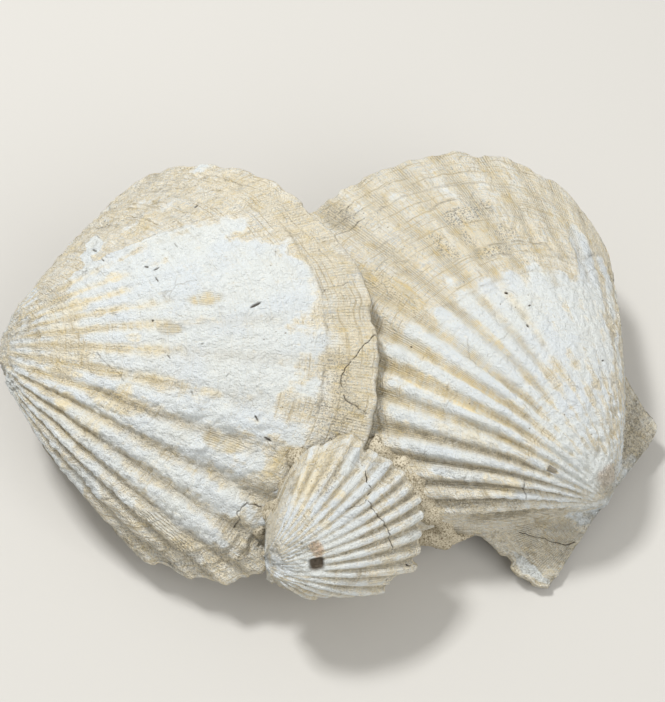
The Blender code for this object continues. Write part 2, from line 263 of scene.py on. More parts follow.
def add_node(tree: bpy.types.NodeTree, kind: Node, *feeds: Any, **settings: Any) -> Any:
    """Add one node with its settings and links to a tree.

    Args:
        tree: the shader or geometry tree.
        kind: the kind of node.
        feeds: for the kind's inputs in order, a value or the socket that feeds it.
        settings: properties of the node besides those of its kind.

    Returns:
        The kind's output socket, or None where a tree ends.
    """
    type_name, own, sockets, output = kind.value
    node = tree.nodes.new(type_name)
    for name, value in {**own, **settings}.items():
        setattr(node, name, value)
    for socket, feed in zip(sockets, feeds):
        if isinstance(feed, bpy.types.NodeSocket):
            tree.links.new(feed, node.inputs[socket])
        else:
            node.inputs[socket].default_value = feed
    return None if output is None else node.outputs[output]


def start_tree(name: str, numbers: Sequence[str], whole: Sequence[str] = ()) -> tuple[Any, Put, Any]:
    """Begin a geometry tree that takes a surface, named numbers and a finish.

    Args:
        name: name of the tree.
        numbers: names of its inputs that are numbers.
        whole: names of its inputs that are whole numbers.

    Returns:
        The tree, the call that adds a node to it, and its inputs by name.
    """
    tree = bpy.data.node_groups.new(name, "GeometryNodeTree")
    labels = [("Geometry", "Geometry"), *((label, "Float") for label in numbers),
              *((label, "Int") for label in whole), ("Finish", "Material")]
    for label, kind in labels:
        tree.interface.new_socket(label, in_out="INPUT", socket_type="NodeSocket" + kind)
    tree.interface.new_socket("Geometry", in_out="OUTPUT", socket_type="NodeSocketGeometry")
    return tree, partial(add_node, tree), add_node(tree, Node.GIVEN).node.outputs


def end_tree(put: Put, surface: Any, finish: Any) -> None:
    """End a geometry tree in real faces that wear the finish."""
    put(Node.RESULT, put(Node.DRESS, put(Node.REALIZE, surface), finish))


def add_thing(name: str, data: Any) -> bpy.types.Object:
    """Put a new object in the scene.

    Args:
        name: its name.
        data: its mesh, light or camera.

    Returns:
        The object.
    """
    thing = bpy.data.objects.new(name, data)
    bpy.context.scene.collection.objects.link(thing)
    return thing


def read_vectors(mesh: bpy.types.Mesh, label: str) -> np.ndarray:
    """Read one vector of each vertex, a row each.

    Args:
        mesh: the mesh.
        label: which vector, such as co or normal.

    Returns:
        The vectors.
    """
    values = np.zeros(len(mesh.vertices) * 3)
    mesh.vertices.foreach_get(label, values)
    return values.reshape(-1, 3)


def keep_result(thing: bpy.types.Object, modifier: bpy.types.Modifier) -> None:
    """Keep what a modifier makes as the object's plain mesh and remove the modifier.

    Args:
        thing: the object; its mesh is replaced.
        modifier: its only modifier.
    """
    view = bpy.context.evaluated_depsgraph_get()
    mesh = bpy.data.meshes.new_from_object(thing.evaluated_get(view))
    thing.modifiers.remove(modifier)
    old, thing.data = thing.data, mesh
    mesh.name = thing.name
    bpy.data.meshes.remove(old)


@dataclass(frozen=True)
class Finish:
    """What every finish has: a name and a material made of nodes."""

    name: str

    def make(self) -> bpy.types.Material:
        """Build the material that the finish is named for."""
        material = bpy.data.materials.new(self.name)
        material.use_nodes = True
        material.node_tree.nodes.clear()
        put = partial(add_node, material.node_tree)
        put(Node.MATERIAL, self.surface(put))
        return material

    def surface(self, put: Put) -> Any:
        """Add the finish's own nodes and return the shader that they end in."""
        raise NotImplementedError


@dataclass(frozen=True)
class Patch:
    """A blotch on a valve, placed by angle and share of the way from beak to margin."""

    mark: Mark
    angle: float
    share: float
    wide: float  # half width in degrees
    tall: float  # half height as a share
    strength: float = 1.0
    slant: float = 0.0  # degrees that the blotch shifts sideways over one tall


def patches(mark: Mark, *rows: Sequence[float]) -> list[Patch]:
    """Make patches of one mark from rows of their other fields."""
    return [Patch(mark, *row) for row in rows]


@dataclass(frozen=True)
class Line:
    """A crack or slit along points of angle and share."""

    points: Curve
    width: float = 0.5
    strength: float = 1.0


@dataclass(frozen=True)
class Zone:
    """Everything on the margin's side of a curve of share over angle."""

    mark: Mark
    edge: Curve
    soft: float = 0.03
    strength: float = 1.0


@dataclass(frozen=True)
class Ledge:
    """A step where a layer has broken away along a curve of share over angle."""

    edge: Curve
    drop: float  # the margin's side lies lower by this; negative is higher
    line: float = 0.6  # darkness of the edge


@dataclass(frozen=True)
class Pit:
    """A small hole or dark slit."""

    angle: float
    share: float
    wide: float  # half size across in millimetres
    tall: float  # half size along in millimetres
    depth: float = 1.0
    slant: float = 0.0
    square: bool = False
    dark: float = 1.0


@dataclass(frozen=True)
class Chip:
    """A bite out of the margin."""

    angle: float
    wide: float  # half width in degrees
    depth: float


@dataclass(frozen=True)
class ValveForm:
    """Outline, bulge and ribs of one valve, in its own frame round the beak."""

    beak: tuple[float, float, float]
    axis: tuple[float, float, float]
    outward: tuple[float, float, float]
    margin: Curve
    flanks: tuple[float, float]
    furrows: tuple[float, ...]
    dome: float
    crest: float
    fall: float
    lean: float
    relief: float
    thickness: float
    shoulder: float = 2.4  # how squarely the bulge drops at the flanks

    def reach(self, angle: np.ndarray) -> np.ndarray:
        """Distance from beak to margin along each angle."""
        return smooth_curve(self.margin, angle)

    def bulge(self, angle: np.ndarray, share: np.ndarray) -> tuple[np.ndarray, np.ndarray]:
        """Height of the rib-free outside, and how far the flank lets the bulge rise.

        Args:
            angle: degrees from the valve's axis.
            share: share of the way from beak to margin.

        Returns:
            Millimetres above the margin's plane, and a share from 0 to 1.
        """
        rise = np.sqrt(np.clip(1 - (1 - share / self.crest) ** 2, 0, 1))
        beyond = np.clip((share - self.crest) / (1 - self.crest), 0, 1)
        profile = np.where(share < self.crest, rise, 1 - beyond**self.fall)
        limit = np.where(angle > 0, self.flanks[1], -self.flanks[0])
        across = np.sqrt(np.clip(1 - np.abs(angle / limit) ** self.shoulder, 0, 1))
        return self.dome * profile * across, across

    def fan(self, angle: np.ndarray) -> np.ndarray:
        """Angle stretched so that equal steps are equally wide along the margin.

        Args:
            angle: degrees from the valve's axis.

        Returns:
            Degrees at RIBLET_REACH from the valve's first edge.
        """
        fine = np.linspace(self.margin[0][0], self.margin[-1][0], 2001)
        width = np.cumsum(self.reach(fine)) * (fine[1] - fine[0]) / RIBLET_REACH
        return np.interp(angle, fine, width)

    def phase(self, angle: np.ndarray) -> np.ndarray:
        """Count of ribs from the first furrow; whole numbers are furrows."""
        return np.interp(angle, self.furrows, np.arange(len(self.furrows)))

    def plan(self, angle: np.ndarray, share: np.ndarray,
             inset: np.ndarray) -> tuple[np.ndarray, np.ndarray]:
        """Place across the margin's plane, with the margin drawn in by the inset.

        Args:
            angle: degrees from the valve's axis.
            share: share of the way from beak to margin.
            inset: millimetres that the margin is drawn in.

        Returns:
            Millimetres along the hinge and along the axis.
        """
        _, across = self.bulge(angle, share)
        lean = self.lean * np.sin(math.pi * np.clip(share / self.crest, 0, 1)) * across**4
        length = share * (self.reach(angle) - inset * ease(share, 0.8, 1.0))
        turn = np.radians(angle)
        return length * np.sin(turn), length * np.cos(turn) - lean

    def wall(self, angle: np.ndarray, share: np.ndarray) -> np.ndarray:
        """Straight-down depth of the wall, more on a slope.

        Args:
            angle: degrees from the valve's axis.
            share: share of the way from beak to margin.

        Returns:
            Millimetres.
        """
        step, turn = 0.01, 1.0  # share and degrees to each side over which the slope is read
        inner = np.clip(share - step, 0, 1)
        outer = np.clip(share + step, 0, 1)
        reach = self.reach(angle)
        along = (self.bulge(angle, outer)[0] - self.bulge(angle, inner)[0]) / ((outer - inner) * reach)
        side = self.bulge(angle + turn, share)[0] - self.bulge(angle - turn, share)[0]
        sideways = side / (math.radians(2 * turn) * np.maximum(share, 0.05) * reach)
        return self.thickness * np.sqrt(1 + along**2 + sideways**2)

    def to_cluster(self, x: np.ndarray, y: np.ndarray, z: np.ndarray) -> np.ndarray:
        """Turn places in the valve's frame into millimetres in the cluster.

        Args:
            x: along the hinge.
            y: along the axis.
            z: outwards.

        Returns:
            The places, one row each.
        """
        outward = unit(self.outward)
        axis = unit(self.axis)
        axis = unit(axis - outward * (axis @ outward))
        hinge = np.cross(axis, outward)
        places = x[..., None] * hinge + y[..., None] * axis + z[..., None] * outward
        return np.asarray(self.beak) + CLUSTER_SHIFT + places


@dataclass(frozen=True)
class ShellFinish(Finish):
    """Worn, chalky fossil calcite with mineral stains: dull, faintly granular to the eye."""

    white: str = "#dbdfdd"
    cream: str = "#fbf1d8"
    pale: str = "#fcf8eb"
    dust: str = "#e2d9c0"
    line: str = "#c9b996"
    blue: str = "#d6dcdf"
    veil: str = "#d6cfba"
    stripe: str = "#a89875"
    rust: str = "#c4a584"
    dirt: str = "#776c58"
    ochre: str = "#ecd8a6"
    grime: str = "#aea48d"
    crack: str = "#5a4f40"
    inside: str = "#cbc1a8"
    roughness: float = 0.78
    gloss: float = 0.3
    bump_depth: float = 1.6
    bump_strength: float = 0.9
    riblet_pitch: float = 0.4  # degrees at RIBLET_REACH; about 1 mm near the margin
    speck_spacing: float = 4.0
    craze_size: float = 17.0
    craze_swerve: tuple[float, float] = (5.0, 3.0)  # how wide the swerves are, and how far they go

    # Name, width of the blotches in millimetres, detail and roughness of each noise. The grit
    # and the peppering are drawn coarser than real chalk grains so that they show.
    noises: tuple[tuple[str, float, float, float], ...] = (
        ("mottle", 9.0, 4, 0.6), ("fleck", 2.4, 4, 0.65), ("grit", 0.7, 3, 0.6),
        ("chill", 17.0, 3, 0.55), ("drift", 30.0, 3, 0.55), ("blot", 5.0, 4, 0.55),
        ("stain", 1.6, 3, 0.7), ("pepper", 0.7, 3, 0.7), ("few", 14.0, 2, 0.55),
        ("crazed", 11.0, 2, 0.55),
    )
    # Name, scale across the ribs and along them, shift and detail of each drawn-out noise.
    weaves: tuple[tuple[str, float, float, float, float], ...] = (
        ("streak", 1.3, 0.12, 0.0, 3.0), ("rings", 0.10, 0.8, 7.0, 3.0), ("hair", 0.08, 1.15, 3.0, 3.0),
        ("fibre", 2.6, 0.10, 5.0, 2.0), ("veil", 0.9, 0.06, 9.0, 3.0),
    )
    # Name, noise, range of the noise and the range that it is spread to, or 0 to 1.
    ramps: tuple[tuple[Any, ...], ...] = (
        ("chill", "chill", 0.38, 0.66), ("hair", "hair", 0.33, 0.44, 0.7, 0.0),
        ("fibre", "fibre", 0.32, 0.43, 0.5, 0.0), ("stripe", "mottle", 0.38, 0.6, 0.45, 1.0),
        ("blot", "blot", 0.54, 0.72, 0.0, 0.45), ("streak", "streak", 0.53, 0.68, 0.0, 0.55),
        ("hollow", "mottle", 0.35, 0.65, 0.12, 0.5), ("drift", "drift", 0.4, 0.65, 0.0, 0.06),
        ("rust", "fleck", 0.3, 0.6, 0.5, 1.0), ("veil", "veil", 0.55, 0.68, 0.0, 0.4),
        ("grime", "fleck", 0.3, 0.62, 0.25, 1.0), ("low_grit", "grit", 0.3, 0.43, 0.65, 0.0),
        ("high_grit", "grit", 0.56, 0.66, 0.0, 0.6), ("stain", "stain", 0.62, 0.7, 0.0, 0.45),
        ("specks", "pepper", 0.48, 0.62, 0.0, 0.7), ("few", "few", 0.45, 0.6, 0.0, 0.7),
        ("craze", "crazed", 0.55, 0.66, 0.0, 0.3),
    )

    def read_all(self, put: Put) -> tuple[Any, dict[str, Any], dict[str, Any]]:
        """Add the nodes that everything else is worked out from.

        Args:
            put: adds a node to the material's tree.

        Returns:
            The place on the piece, the valve's own numbers by name, and the noises by name.
        """
        place = put(Node.PLACE)
        labels = ("angle", "growth", "chalk", "inner", "fan", "riblets", "ochre", "rust", "hollow",
                  "grime", "specks", "crack")
        own = {label: put(Node.OWN, attribute_name=label) for label in labels}
        noise = {name: put(Node.NOISE, place, 1 / (size * MM), detail, rough)
                 for name, size, detail, rough in self.noises}
        for name, across, along, shift, detail in self.weaves:
            spot = put(Node.COMBINE, put(Node.MULTIPLY, own["angle"], across),
                       put(Node.MULTIPLY, own["growth"], along), shift)
            noise[name] = put(Node.NOISE, spot, 1.0, detail)
        return place, own, noise

    def craze(self, put: Put, place: Any, patchy: Any) -> Any:
        """Add the net of hairline cracks that shows where the patchy noise lets it.

        Args:
            put: adds a node to the material's tree.
            place: the place on the piece.
            patchy: how strongly it shows.

        Returns:
            The darkness of the net.
        """
        width, reach = self.craze_swerve
        bend = put(Node.NOISE, place, 1 / (width * MM)).node.outputs["Color"]
        spot = put(Node.SHIFT, place, put(Node.STRETCH, bend, reach * MM))
        cells = put(Node.CELLS, spot, 1 / (self.craze_size * MM), feature="DISTANCE_TO_EDGE")
        return put(Node.MULTIPLY, put(Node.SPREAD, cells, 0.004, 0.018, 1.0, 0.0), patchy)

    def surface(self, put: Put) -> Any:
        """Lay lines, stains, grit and cracks in turn over chalk and cream.

        Args:
            put: adds a node to the material's tree.

        Returns:
            The shader.
        """
        place, own, noise = self.read_all(put)
        ramp = {name: put(Node.SPREAD, noise[label], *limits) for name, label, *limits in self.ramps}
        mottle, fleck, grit, streak = (noise[name] for name in ("mottle", "fleck", "grit", "streak"))
        mixed = put(Node.DIVIDE, put(Node.ADD, put(Node.ADD, streak, noise["rings"]),
                                     put(Node.ADD, mottle, fleck)), 4.0)
        tone = put(Node.BLEND, put(Node.SPREAD, mixed, 0.44, 0.55), linear(self.cream), linear(self.pale))
        chill = put(Node.BLEND, ramp["chill"], linear(self.white), linear(self.blue))
        chalk = own["chalk"]
        for blotch, weight in ((fleck, 1.3), (streak, 0.9)):
            chalk = put(Node.ADD, chalk, put(Node.MULTIPLY, put(Node.SUBTRACT, blotch, 0.5), weight))
        chalk = put(Node.SPREAD, chalk, 0.0, 0.95)
        bare = put(Node.SUBTRACT, 1.0, chalk)
        lines = put(Node.MAXIMUM, ramp["hair"], ramp["fibre"])
        lines = put(Node.MULTIPLY, lines, put(Node.ADD, put(Node.MULTIPLY, bare, 0.85), 0.15))
        glint = put(Node.SPREAD, put(Node.ADD, noise["hair"], noise["fibre"]), 1.02, 1.25, 0.0, 0.7)
        turn = put(Node.MULTIPLY, own["fan"], 2 * math.pi / self.riblet_pitch)
        wave = put(Node.SINE, put(Node.ADD, turn, put(Node.MULTIPLY, fleck, 1.2)))
        stripe = put(Node.MULTIPLY, own["riblets"], put(Node.SPREAD, wave, -0.9, 0.1, 1.0, 0.0))
        stripe = put(Node.MULTIPLY, stripe, ramp["stripe"])
        ochre = put(Node.MULTIPLY, own["ochre"], put(Node.SPREAD, mixed, 0.42, 0.56, 0.25, 1.0))
        blots = put(Node.MULTIPLY, bare, put(Node.ADD, ramp["blot"], ramp["streak"]))
        ochre = put(Node.MINIMUM, put(Node.ADD, ochre, blots), 1.0)
        # The relief's hollows are drawn darker, in patches set by the mottle, and laid with the grime
        # colour.
        grime = put(Node.MAXIMUM, own["grime"], put(Node.MULTIPLY, own["hollow"], ramp["hollow"]))
        rough = put(Node.ADD, 0.45, put(Node.MULTIPLY, bare, 0.55))
        dots = put(Node.CELLS, place, 1 / (self.speck_spacing * MM))
        dots = put(Node.SPREAD, dots, 0.04, 0.1, 1.0, 0.0)
        craze = self.craze(put, place, ramp["craze"])
        crack = put(Node.MINIMUM, put(Node.MULTIPLY, own["crack"], 1.2), 1.0)
        layers = (
            (own["inner"], self.inside),
            (bare, glint, self.white),
            (lines, self.line),
            (ramp["drift"], self.dust),
            (ochre, self.ochre),
            (stripe, 0.55, self.stripe),
            (own["rust"], ramp["rust"], self.rust),
            (bare, ramp["veil"], self.veil),
            (grime, ramp["grime"], self.grime),
            (rough, ramp["low_grit"], self.dust),
            (rough, ramp["high_grit"], self.white),
            (rough, ramp["stain"], self.grime),
            (own["specks"], ramp["specks"], self.dirt),
            (dots, ramp["few"], self.dirt),
            (craze, self.dirt),
            (crack, self.crack),
        )
        colour = put(Node.BLEND, chalk, tone, chill)
        for *factors, over in layers:
            amount = reduce(partial(put, Node.MULTIPLY), factors)
            colour = put(Node.BLEND, amount, colour, linear(over))
        height = put(Node.ADD, put(Node.MULTIPLY, grit, put(Node.ADD, 0.6, bare)),
                     put(Node.MULTIPLY, fleck, 1.4))
        for layer, weight in ((lines, 0.35), (stripe, 0.4), (craze, 0.25)):
            height = put(Node.SUBTRACT, height, put(Node.MULTIPLY, layer, weight))
        bump = put(Node.BUMP, height, self.bump_depth * MM, self.bump_strength)
        return put(Node.SURFACE, colour, self.roughness, self.gloss, bump)


@dataclass(frozen=True)
class SculptSizes:
    """Depths of the relief that the node tree gives a valve."""

    ribs: float
    wrinkles: float
    crust: float
    crack: float
    wrinkle_pitch: float = 1.7
    crust_pitch: float = 2.6
    furrow_sharpness: float = 1.6
    seed: int = 1


def build_sculpture(name: str) -> bpy.types.NodeTree:
    """Make the tree that raises ribs, growth wrinkles, grain and cracks on a valve.

    Args:
        name: name of the tree.

    Returns:
        The geometry tree; its reliefs are in metres and its pitches in millimetres.
    """
    labels = ("Rib relief", "Wrinkle relief", "Crust relief", "Crack depth", "Furrow sharpness",
              "Wrinkle pitch", "Crust pitch", "Seed")
    tree, put, given = start_tree(name, labels)
    own = {label: put(Node.NAMED, label) for label in (
        "rib_phase", "rib_strength", "growth", "angle", "wrinkle", "grain", "lift", "crack")}
    wave = put(Node.COSINE, put(Node.MULTIPLY, own["rib_phase"], 2 * math.pi))
    valley = put(Node.MULTIPLY, put(Node.ADD, wave, 1.0), 0.5)
    furrow = put(Node.POWER, valley, given["Furrow sharpness"])
    profile = put(Node.SUBTRACT, 1.0, put(Node.MULTIPLY, furrow, 2.0))
    ribs = put(Node.MULTIPLY, put(Node.MULTIPLY, profile, own["rib_strength"]), given["Rib relief"])
    spot = put(Node.COMBINE, put(Node.MULTIPLY, own["angle"], 0.2),
               put(Node.DIVIDE, own["growth"], given["Wrinkle pitch"]), given["Seed"])
    place = put(Node.STRETCH, put(Node.POSITION), 1 / MM)
    fine = put(Node.DIVIDE, 1.0, given["Crust pitch"])
    coarse = put(Node.DIVIDE, 1.0, put(Node.MULTIPLY, given["Crust pitch"], 3.7))
    ripple, small, large = (
        put(Node.MULTIPLY, put(Node.SUBTRACT, put(Node.NOISE, *feeds), 0.5), 4.0)  # about -1 to 1
        for feeds in ((spot, 1.0, 2.0), (place, fine, 2.0, 0.55, 0.4), (place, coarse, 1.0, 0.55, 0.4)))
    ripple = put(Node.MULTIPLY, put(Node.MULTIPLY, ripple, own["wrinkle"]), given["Wrinkle relief"])
    crust = put(Node.ADD, small, put(Node.MULTIPLY, large, 0.8))
    crust = put(Node.MULTIPLY, put(Node.MULTIPLY, crust, own["grain"]), given["Crust relief"])
    cup = put(Node.ADD, put(Node.ADD, ripple, crust), put(Node.MULTIPLY, ribs, 0.35))
    # How far each point lies down in the relief's hollows; the finish draws the hollows darker.
    hollow = put(Node.RAMP, put(Node.DIVIDE, cup, given["Crust relief"]), -0.15, -1.1)
    kept = put(Node.STORE, given["Geometry"], "hollow", hollow, domain="POINT")
    relief = put(Node.ADD, put(Node.ADD, put(Node.ADD, ribs, ripple), crust), own["lift"])
    relief = put(Node.SUBTRACT, relief, put(Node.MULTIPLY, own["crack"], given["Crack depth"]))
    moved = put(Node.MOVE, kept, put(Node.STRETCH, put(Node.NORMAL), relief))
    end_tree(put, put(Node.SMOOTH, moved), given["Finish"])
    return tree


def run_tree(thing: bpy.types.Object, tree: bpy.types.NodeTree, values: dict[str, Any]) -> None:
    """Run a geometry tree on an object and keep the plain mesh that it makes.

    Args:
        thing: the object; its mesh is replaced.
        tree: the geometry tree.
        values: what each named input gets.
    """
    modifier = thing.modifiers.new(tree.name, "NODES")
    modifier.node_group = tree
    for item in tree.interface.items_tree:
        if item.in_out == "INPUT" and item.name in values:
            modifier[item.identifier] = values[item.name]
    keep_result(thing, modifier)


def keep_inside(thing: bpy.types.Object, soft: float = 0.8) -> None:
    """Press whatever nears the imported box's sides gently back, so that nothing stands out.

    Args:
        thing: the piece; its points are moved.
        soft: how many millimetres before a side the pressing starts.
    """
    low, high = (np.array(corner) / MM for corner in PACKED)
    places = read_vectors(thing.data, "co") / MM
    for axis in range(3):
        over = np.maximum((places[:, axis] - high[axis] + soft) / soft, 0)
        places[:, axis] = np.where(over > 0, high[axis] - soft * np.exp(-over), places[:, axis])
        under = np.maximum((low[axis] + soft - places[:, axis]) / soft, 0)
        if axis < 2:
            places[:, axis] = np.where(under > 0, low[axis] + soft * np.exp(-under), places[:, axis])
    thing.data.vertices.foreach_set("co", (places * MM).ravel())


@dataclass(frozen=True)
class ChalkRule:
    """How much each thing adds to the chalk on a place."""

    base: float = 0.2
    white: float = 0.9
    smooth: float = 0.5
    cream: float = -0.85
    crest: float = 0.3
    wide_cloud: tuple[float, float] = (11.0, 0.7)  # size in millimetres and amount
    fine_cloud: tuple[float, float] = (3.2, 0.45)


@dataclass
class Valve:
    """One fossil valve: its form, its marks and its finish."""

    node: str
    slot: str
    form: ValveForm
    finish: ShellFinish
    sculpt: SculptSizes
    marks: Sequence[Any]
    wear: Curve  # share of the rib height left, over angle
    rise: Curve  # share at which the ribs reach their full height, over angle
    columns: int = 448
    rows: int = 210
    seed: int = 1
    evenness: float = 0.75  # how much the columns follow the margin's length, not its angle
    sharp: float = 0.75  # cells this near a crack, slit or pit are split
    rim_inset: float = 0.9  # how far the margin is drawn in on average
    rim_ragged: float = 0.9
    rim_notch: float = 0.5  # how far a rib's end stands out
    rim_range: tuple[float, float] = (0.45, 3.5)
    rim_wave: float = 0.35  # share of the ribs' relief that the rim follows
    lowest: float = -2.6  # the inside lies no deeper than this in the valve's frame
    chalk: ChalkRule = ChalkRule()
    chalk_lift: float = 0.1
    outside_sink: float = 0.3
    patchy_wear: float = 0.3
    streaky_wear: float = 0.45

    def column_angles(self) -> np.ndarray:
        """Angles of the mesh columns, spread evenly between angle and length of margin."""
        fine = np.linspace(self.form.margin[0][0], self.form.margin[-1][0], 4001)
        reach = self.form.reach(fine)
        x, y = reach * np.sin(np.radians(fine)), reach * np.cos(np.radians(fine))
        length = np.concatenate(([0], np.cumsum(np.hypot(np.diff(x), np.diff(y)))))
        even = self.evenness * length / length[-1]
        blend = even + (1 - self.evenness) * np.linspace(0, 1, len(fine))
        return np.interp(np.linspace(0, 1, self.columns + 1), blend, fine)

    def row_shares(self) -> np.ndarray:
        """Shares of the mesh rows, spread evenly along the valve's profile."""
        share = 1 - np.cos(np.linspace(0, math.pi / 2, 400))
        share = np.concatenate((share * self.form.crest, np.linspace(self.form.crest, 1, 1200)[1:]))
        height, _ = self.form.bulge(np.zeros_like(share), share)
        length = np.hypot(np.diff(share * self.form.reach(np.zeros(1))[0]), np.diff(height))
        length = np.concatenate(([0], np.cumsum(length)))
        even = np.interp(np.linspace(0, length[-1], self.rows + 1), length, share)
        return even[1:]

    def lay_grid(self) -> tuple[np.ndarray, list[tuple[int, ...]]]:
        """Lay out the closed plate in the plane of angle and share.

        Returns:
            Points as angle, share and side (0 is the outside, 1 the inside, the rim between),
            and the faces.
        """
        angles = self.column_angles()
        shares = self.row_shares()
        points: list[tuple[float, float, float]] = [(0.0, 0.0, 0.0)]
        faces: list[tuple[int, ...]] = []

        def add_row(step: int, share: float, side: float) -> list[int]:
            """Add one row of points on every step-th column."""
            start = len(points)
            points.extend((angle, share, side) for angle in angles[::step])
            return list(range(start, len(points)))

        def join(one: list[int], two: list[int]) -> None:
            """Fill the strip between two rows, of which one may be twice or four times finer."""
            if len(one) < len(two):
                one, two, turn = two, one, True
            else:
                turn = False
            ratio = (len(one) - 1) // (len(two) - 1)
            for k in range(len(two) - 1):
                ring = [*one[k * ratio : (k + 1) * ratio + 1], two[k + 1], two[k]]
                faces.append(tuple(ring if turn else reversed(ring)))

        def step_at(share: float, steps: Curve) -> int:
            """How many columns a row skips, so that cells stay about square."""
            return next(step for limit, step in steps if share < limit)

        outer = [add_row(step_at(share, OUTER_STEPS), share, 0.0) for share in shares]
        for k in range(len(outer[0]) - 1):
            faces.append((0, outer[0][k], outer[0][k + 1]))
        for one, two in itertools.pairwise(outer):
            join(one, two)
        rim = [add_row(1, 1.0, side) for side in RIM_SIDES]
        inner = [add_row(step_at(share, INNER_STEPS), share, 1.0) for share in INNER_SHARES]
        chain = [outer[-1], *rim, *inner]
        for one, two in itertools.pairwise(chain):
            join(one, two)
        tip = len(points)
        points.append((0.0, 0.0, 1.0))
        for k in range(len(inner[-1]) - 1):
            faces.append((tip, inner[-1][k + 1], inner[-1][k]))
        for end in (0, -1):
            ring = [0, *[row[end] for row in outer], *[row[end] for row in rim],
                    *[row[end] for row in inner], tip]
            top = ring[: len(outer) + 1]
            low = ring[len(outer) + 1 :][::-1]
            faces.extend(self.close_side(points, top, low))
        return np.array(points), faces

    def refine(self, grid: np.ndarray, faces: list[tuple[int, ...]]) -> tuple[np.ndarray, list]:
        """Split the outside cells along cracks and pits, so that these come out crisp.

        Args:
            grid: angle, share and side of each point.
            faces: the faces over them.

        Returns:
            The finer grid and its faces.
        """
        flat = self.locate(grid[:, 0], grid[:, 1])
        near = np.full(len(grid), FAR)
        for mark in self.marks:
            if isinstance(mark, Line):
                near = np.minimum(near, self.distance_to(mark.points, flat) - mark.width)
            elif isinstance(mark, Pit):
                here = self.locate(np.array([mark.angle]), np.array([mark.share]))[0]
                near = np.minimum(near, np.linalg.norm(flat - here, axis=1) - max(mark.wide, mark.tall))
        chosen = (near < self.sharp) & (grid[:, 2] == 0) & (grid[:, 1] > 0.02)
        body = bmesh.new()
        corners = [body.verts.new(point) for point in grid]
        for face in faces:
            body.faces.new([corners[k] for k in face])
        body.verts.index_update()
        body.edges.index_update()
        edges = [e for e in body.edges if chosen[e.verts[0].index] and chosen[e.verts[1].index]]
        bmesh.ops.subdivide_edges(body, edges=edges, cuts=2, use_grid_fill=True)
        body.verts.index_update()
        finer = np.array([tuple(v.co) for v in body.verts])
        rings = [tuple(v.index for v in face.verts) for face in body.faces]
        body.free()
        return finer, rings

    @staticmethod
    def close_side(points: list, top: list[int], low: list[int]) -> list[tuple[int, ...]]:
        """Zip two chains of points from beak to margin into a strip of triangles.

        Args:
            points: angle, share and side of every point.
            top: the outside's chain.
            low: the inside's chain.

        Returns:
            The triangles.
        """
        faces = []
        i, j = 0, 0
        while i < len(top) - 1 or j < len(low) - 1:
            up = points[top[i + 1]][1] if i < len(top) - 1 else 9.0
            down = points[low[j + 1]][1] if j < len(low) - 1 else 9.0
            if up <= down and i < len(top) - 1:
                faces.append((top[i], top[i + 1], low[j]))
                i += 1
            else:
                faces.append((top[i], low[j + 1], low[j]))
                j += 1
        return faces

    def place_points(self, grid: np.ndarray) -> tuple[np.ndarray, dict[str, np.ndarray]]:
        """Work out where each point of the grid lies and the numbers it carries.

        Args:
            grid: angle, share and side of each point.

        Returns:
            Places in millimetres and the named numbers for the node tree and the material.
        """
        form = self.form
        angle, share, side = grid[:, 0], grid[:, 1], grid[:, 2]
        height, across = form.bulge(angle, share)
        flat = self.locate(angle, share)
        phase = form.phase(angle)
        ribbed = (angle > form.furrows[0]) & (angle < form.furrows[-1])
        wave = np.where(ribbed, -np.cos(2 * math.pi * phase), -1.0)
        fade = np.minimum(1, share * 2.6) * np.minimum(1, across * 3)
        kept = self.rib_share(angle, share)
        masks = self.paint(angle, share, flat, wave * ribbed)
        ragged = cloud_noise(flat, 5.0, self.seed + 40) * self.rim_ragged
        notch = self.rim_notch * wave * fade * kept
        inset = np.clip(self.rim_inset + ragged - notch, *self.rim_range) + masks.pop("inset")
        x, y = form.plan(angle, share, inset)
        floor = np.maximum(height - form.wall(angle, share), self.lowest)
        z = height + (floor - height) * side
        outside = 1 - ease(side, 0.0, 0.35)
        edge_wave = ease(share, 0.7, 1.0) * ease(side, 0.2, 1.0) * wave * fade * kept * form.relief
        z += np.where(side > 0, edge_wave * self.rim_wave, 0.0)
        numbers = {key: value * outside for key, value in masks.items()}
        valley = 0.5 - 0.5 * wave * np.minimum(1, fade * 1.5)
        numbers["ochre"] = np.maximum(numbers["ochre"], numbers.pop("furrow_ochre") * valley**2)
        numbers["grime"] = np.maximum(numbers["grime"], numbers.pop("furrow_grime") * valley**3)
        numbers["grain"] *= 1 - 0.35 * numbers["smooth"]
        crest = wave * np.minimum(1, fade * 1.5)
        rule = self.chalk
        bias = rule.base + rule.white * numbers["white"] + rule.smooth * numbers["smooth"]
        bias += rule.cream * numbers["cream"]
        bias += rule.crest * crest + rule.wide_cloud[1] * cloud_noise(
            flat, rule.wide_cloud[0], self.seed + 31, 4)
        bias += rule.fine_cloud[1] * cloud_noise(flat, rule.fine_cloud[0], self.seed + 35, 2)
        numbers["chalk"] = ease(bias, -0.4, 0.5) * outside
        bare = 1 - numbers["chalk"]
        lined = numbers.pop("furrow_riblets") * valley**2
        lined = np.maximum(np.maximum(numbers["riblets"], lined), 0.15 * bare)
        numbers["riblets"] = lined * (share > 0.3)
        numbers["lift"] += (self.chalk_lift * numbers["chalk"] - self.outside_sink * outside) * MM
        worn = kept * (1 - 0.5 * numbers.pop("smooth")) * (1 + 0.5 * numbers.pop("bold"))
        worn *= 1 + self.patchy_wear * cloud_noise(flat, 16.0, self.seed + 21)
        drawn_out = np.column_stack((angle * 1.3, share * 15.0, np.zeros_like(share)))
        worn *= 1 + self.streaky_wear * cloud_noise(drawn_out, 5.0, self.seed + 23)
        worn *= 1 - ease(numbers["crack"], 0.5, 1.0) * (numbers["lift"] < -0.5 * MM)
        numbers["rib_phase"] = np.where(ribbed, phase, 0.0)
        numbers["rib_strength"] = fade * worn * (1 - ease(side, 0.3, 0.6))
        numbers["angle"] = angle
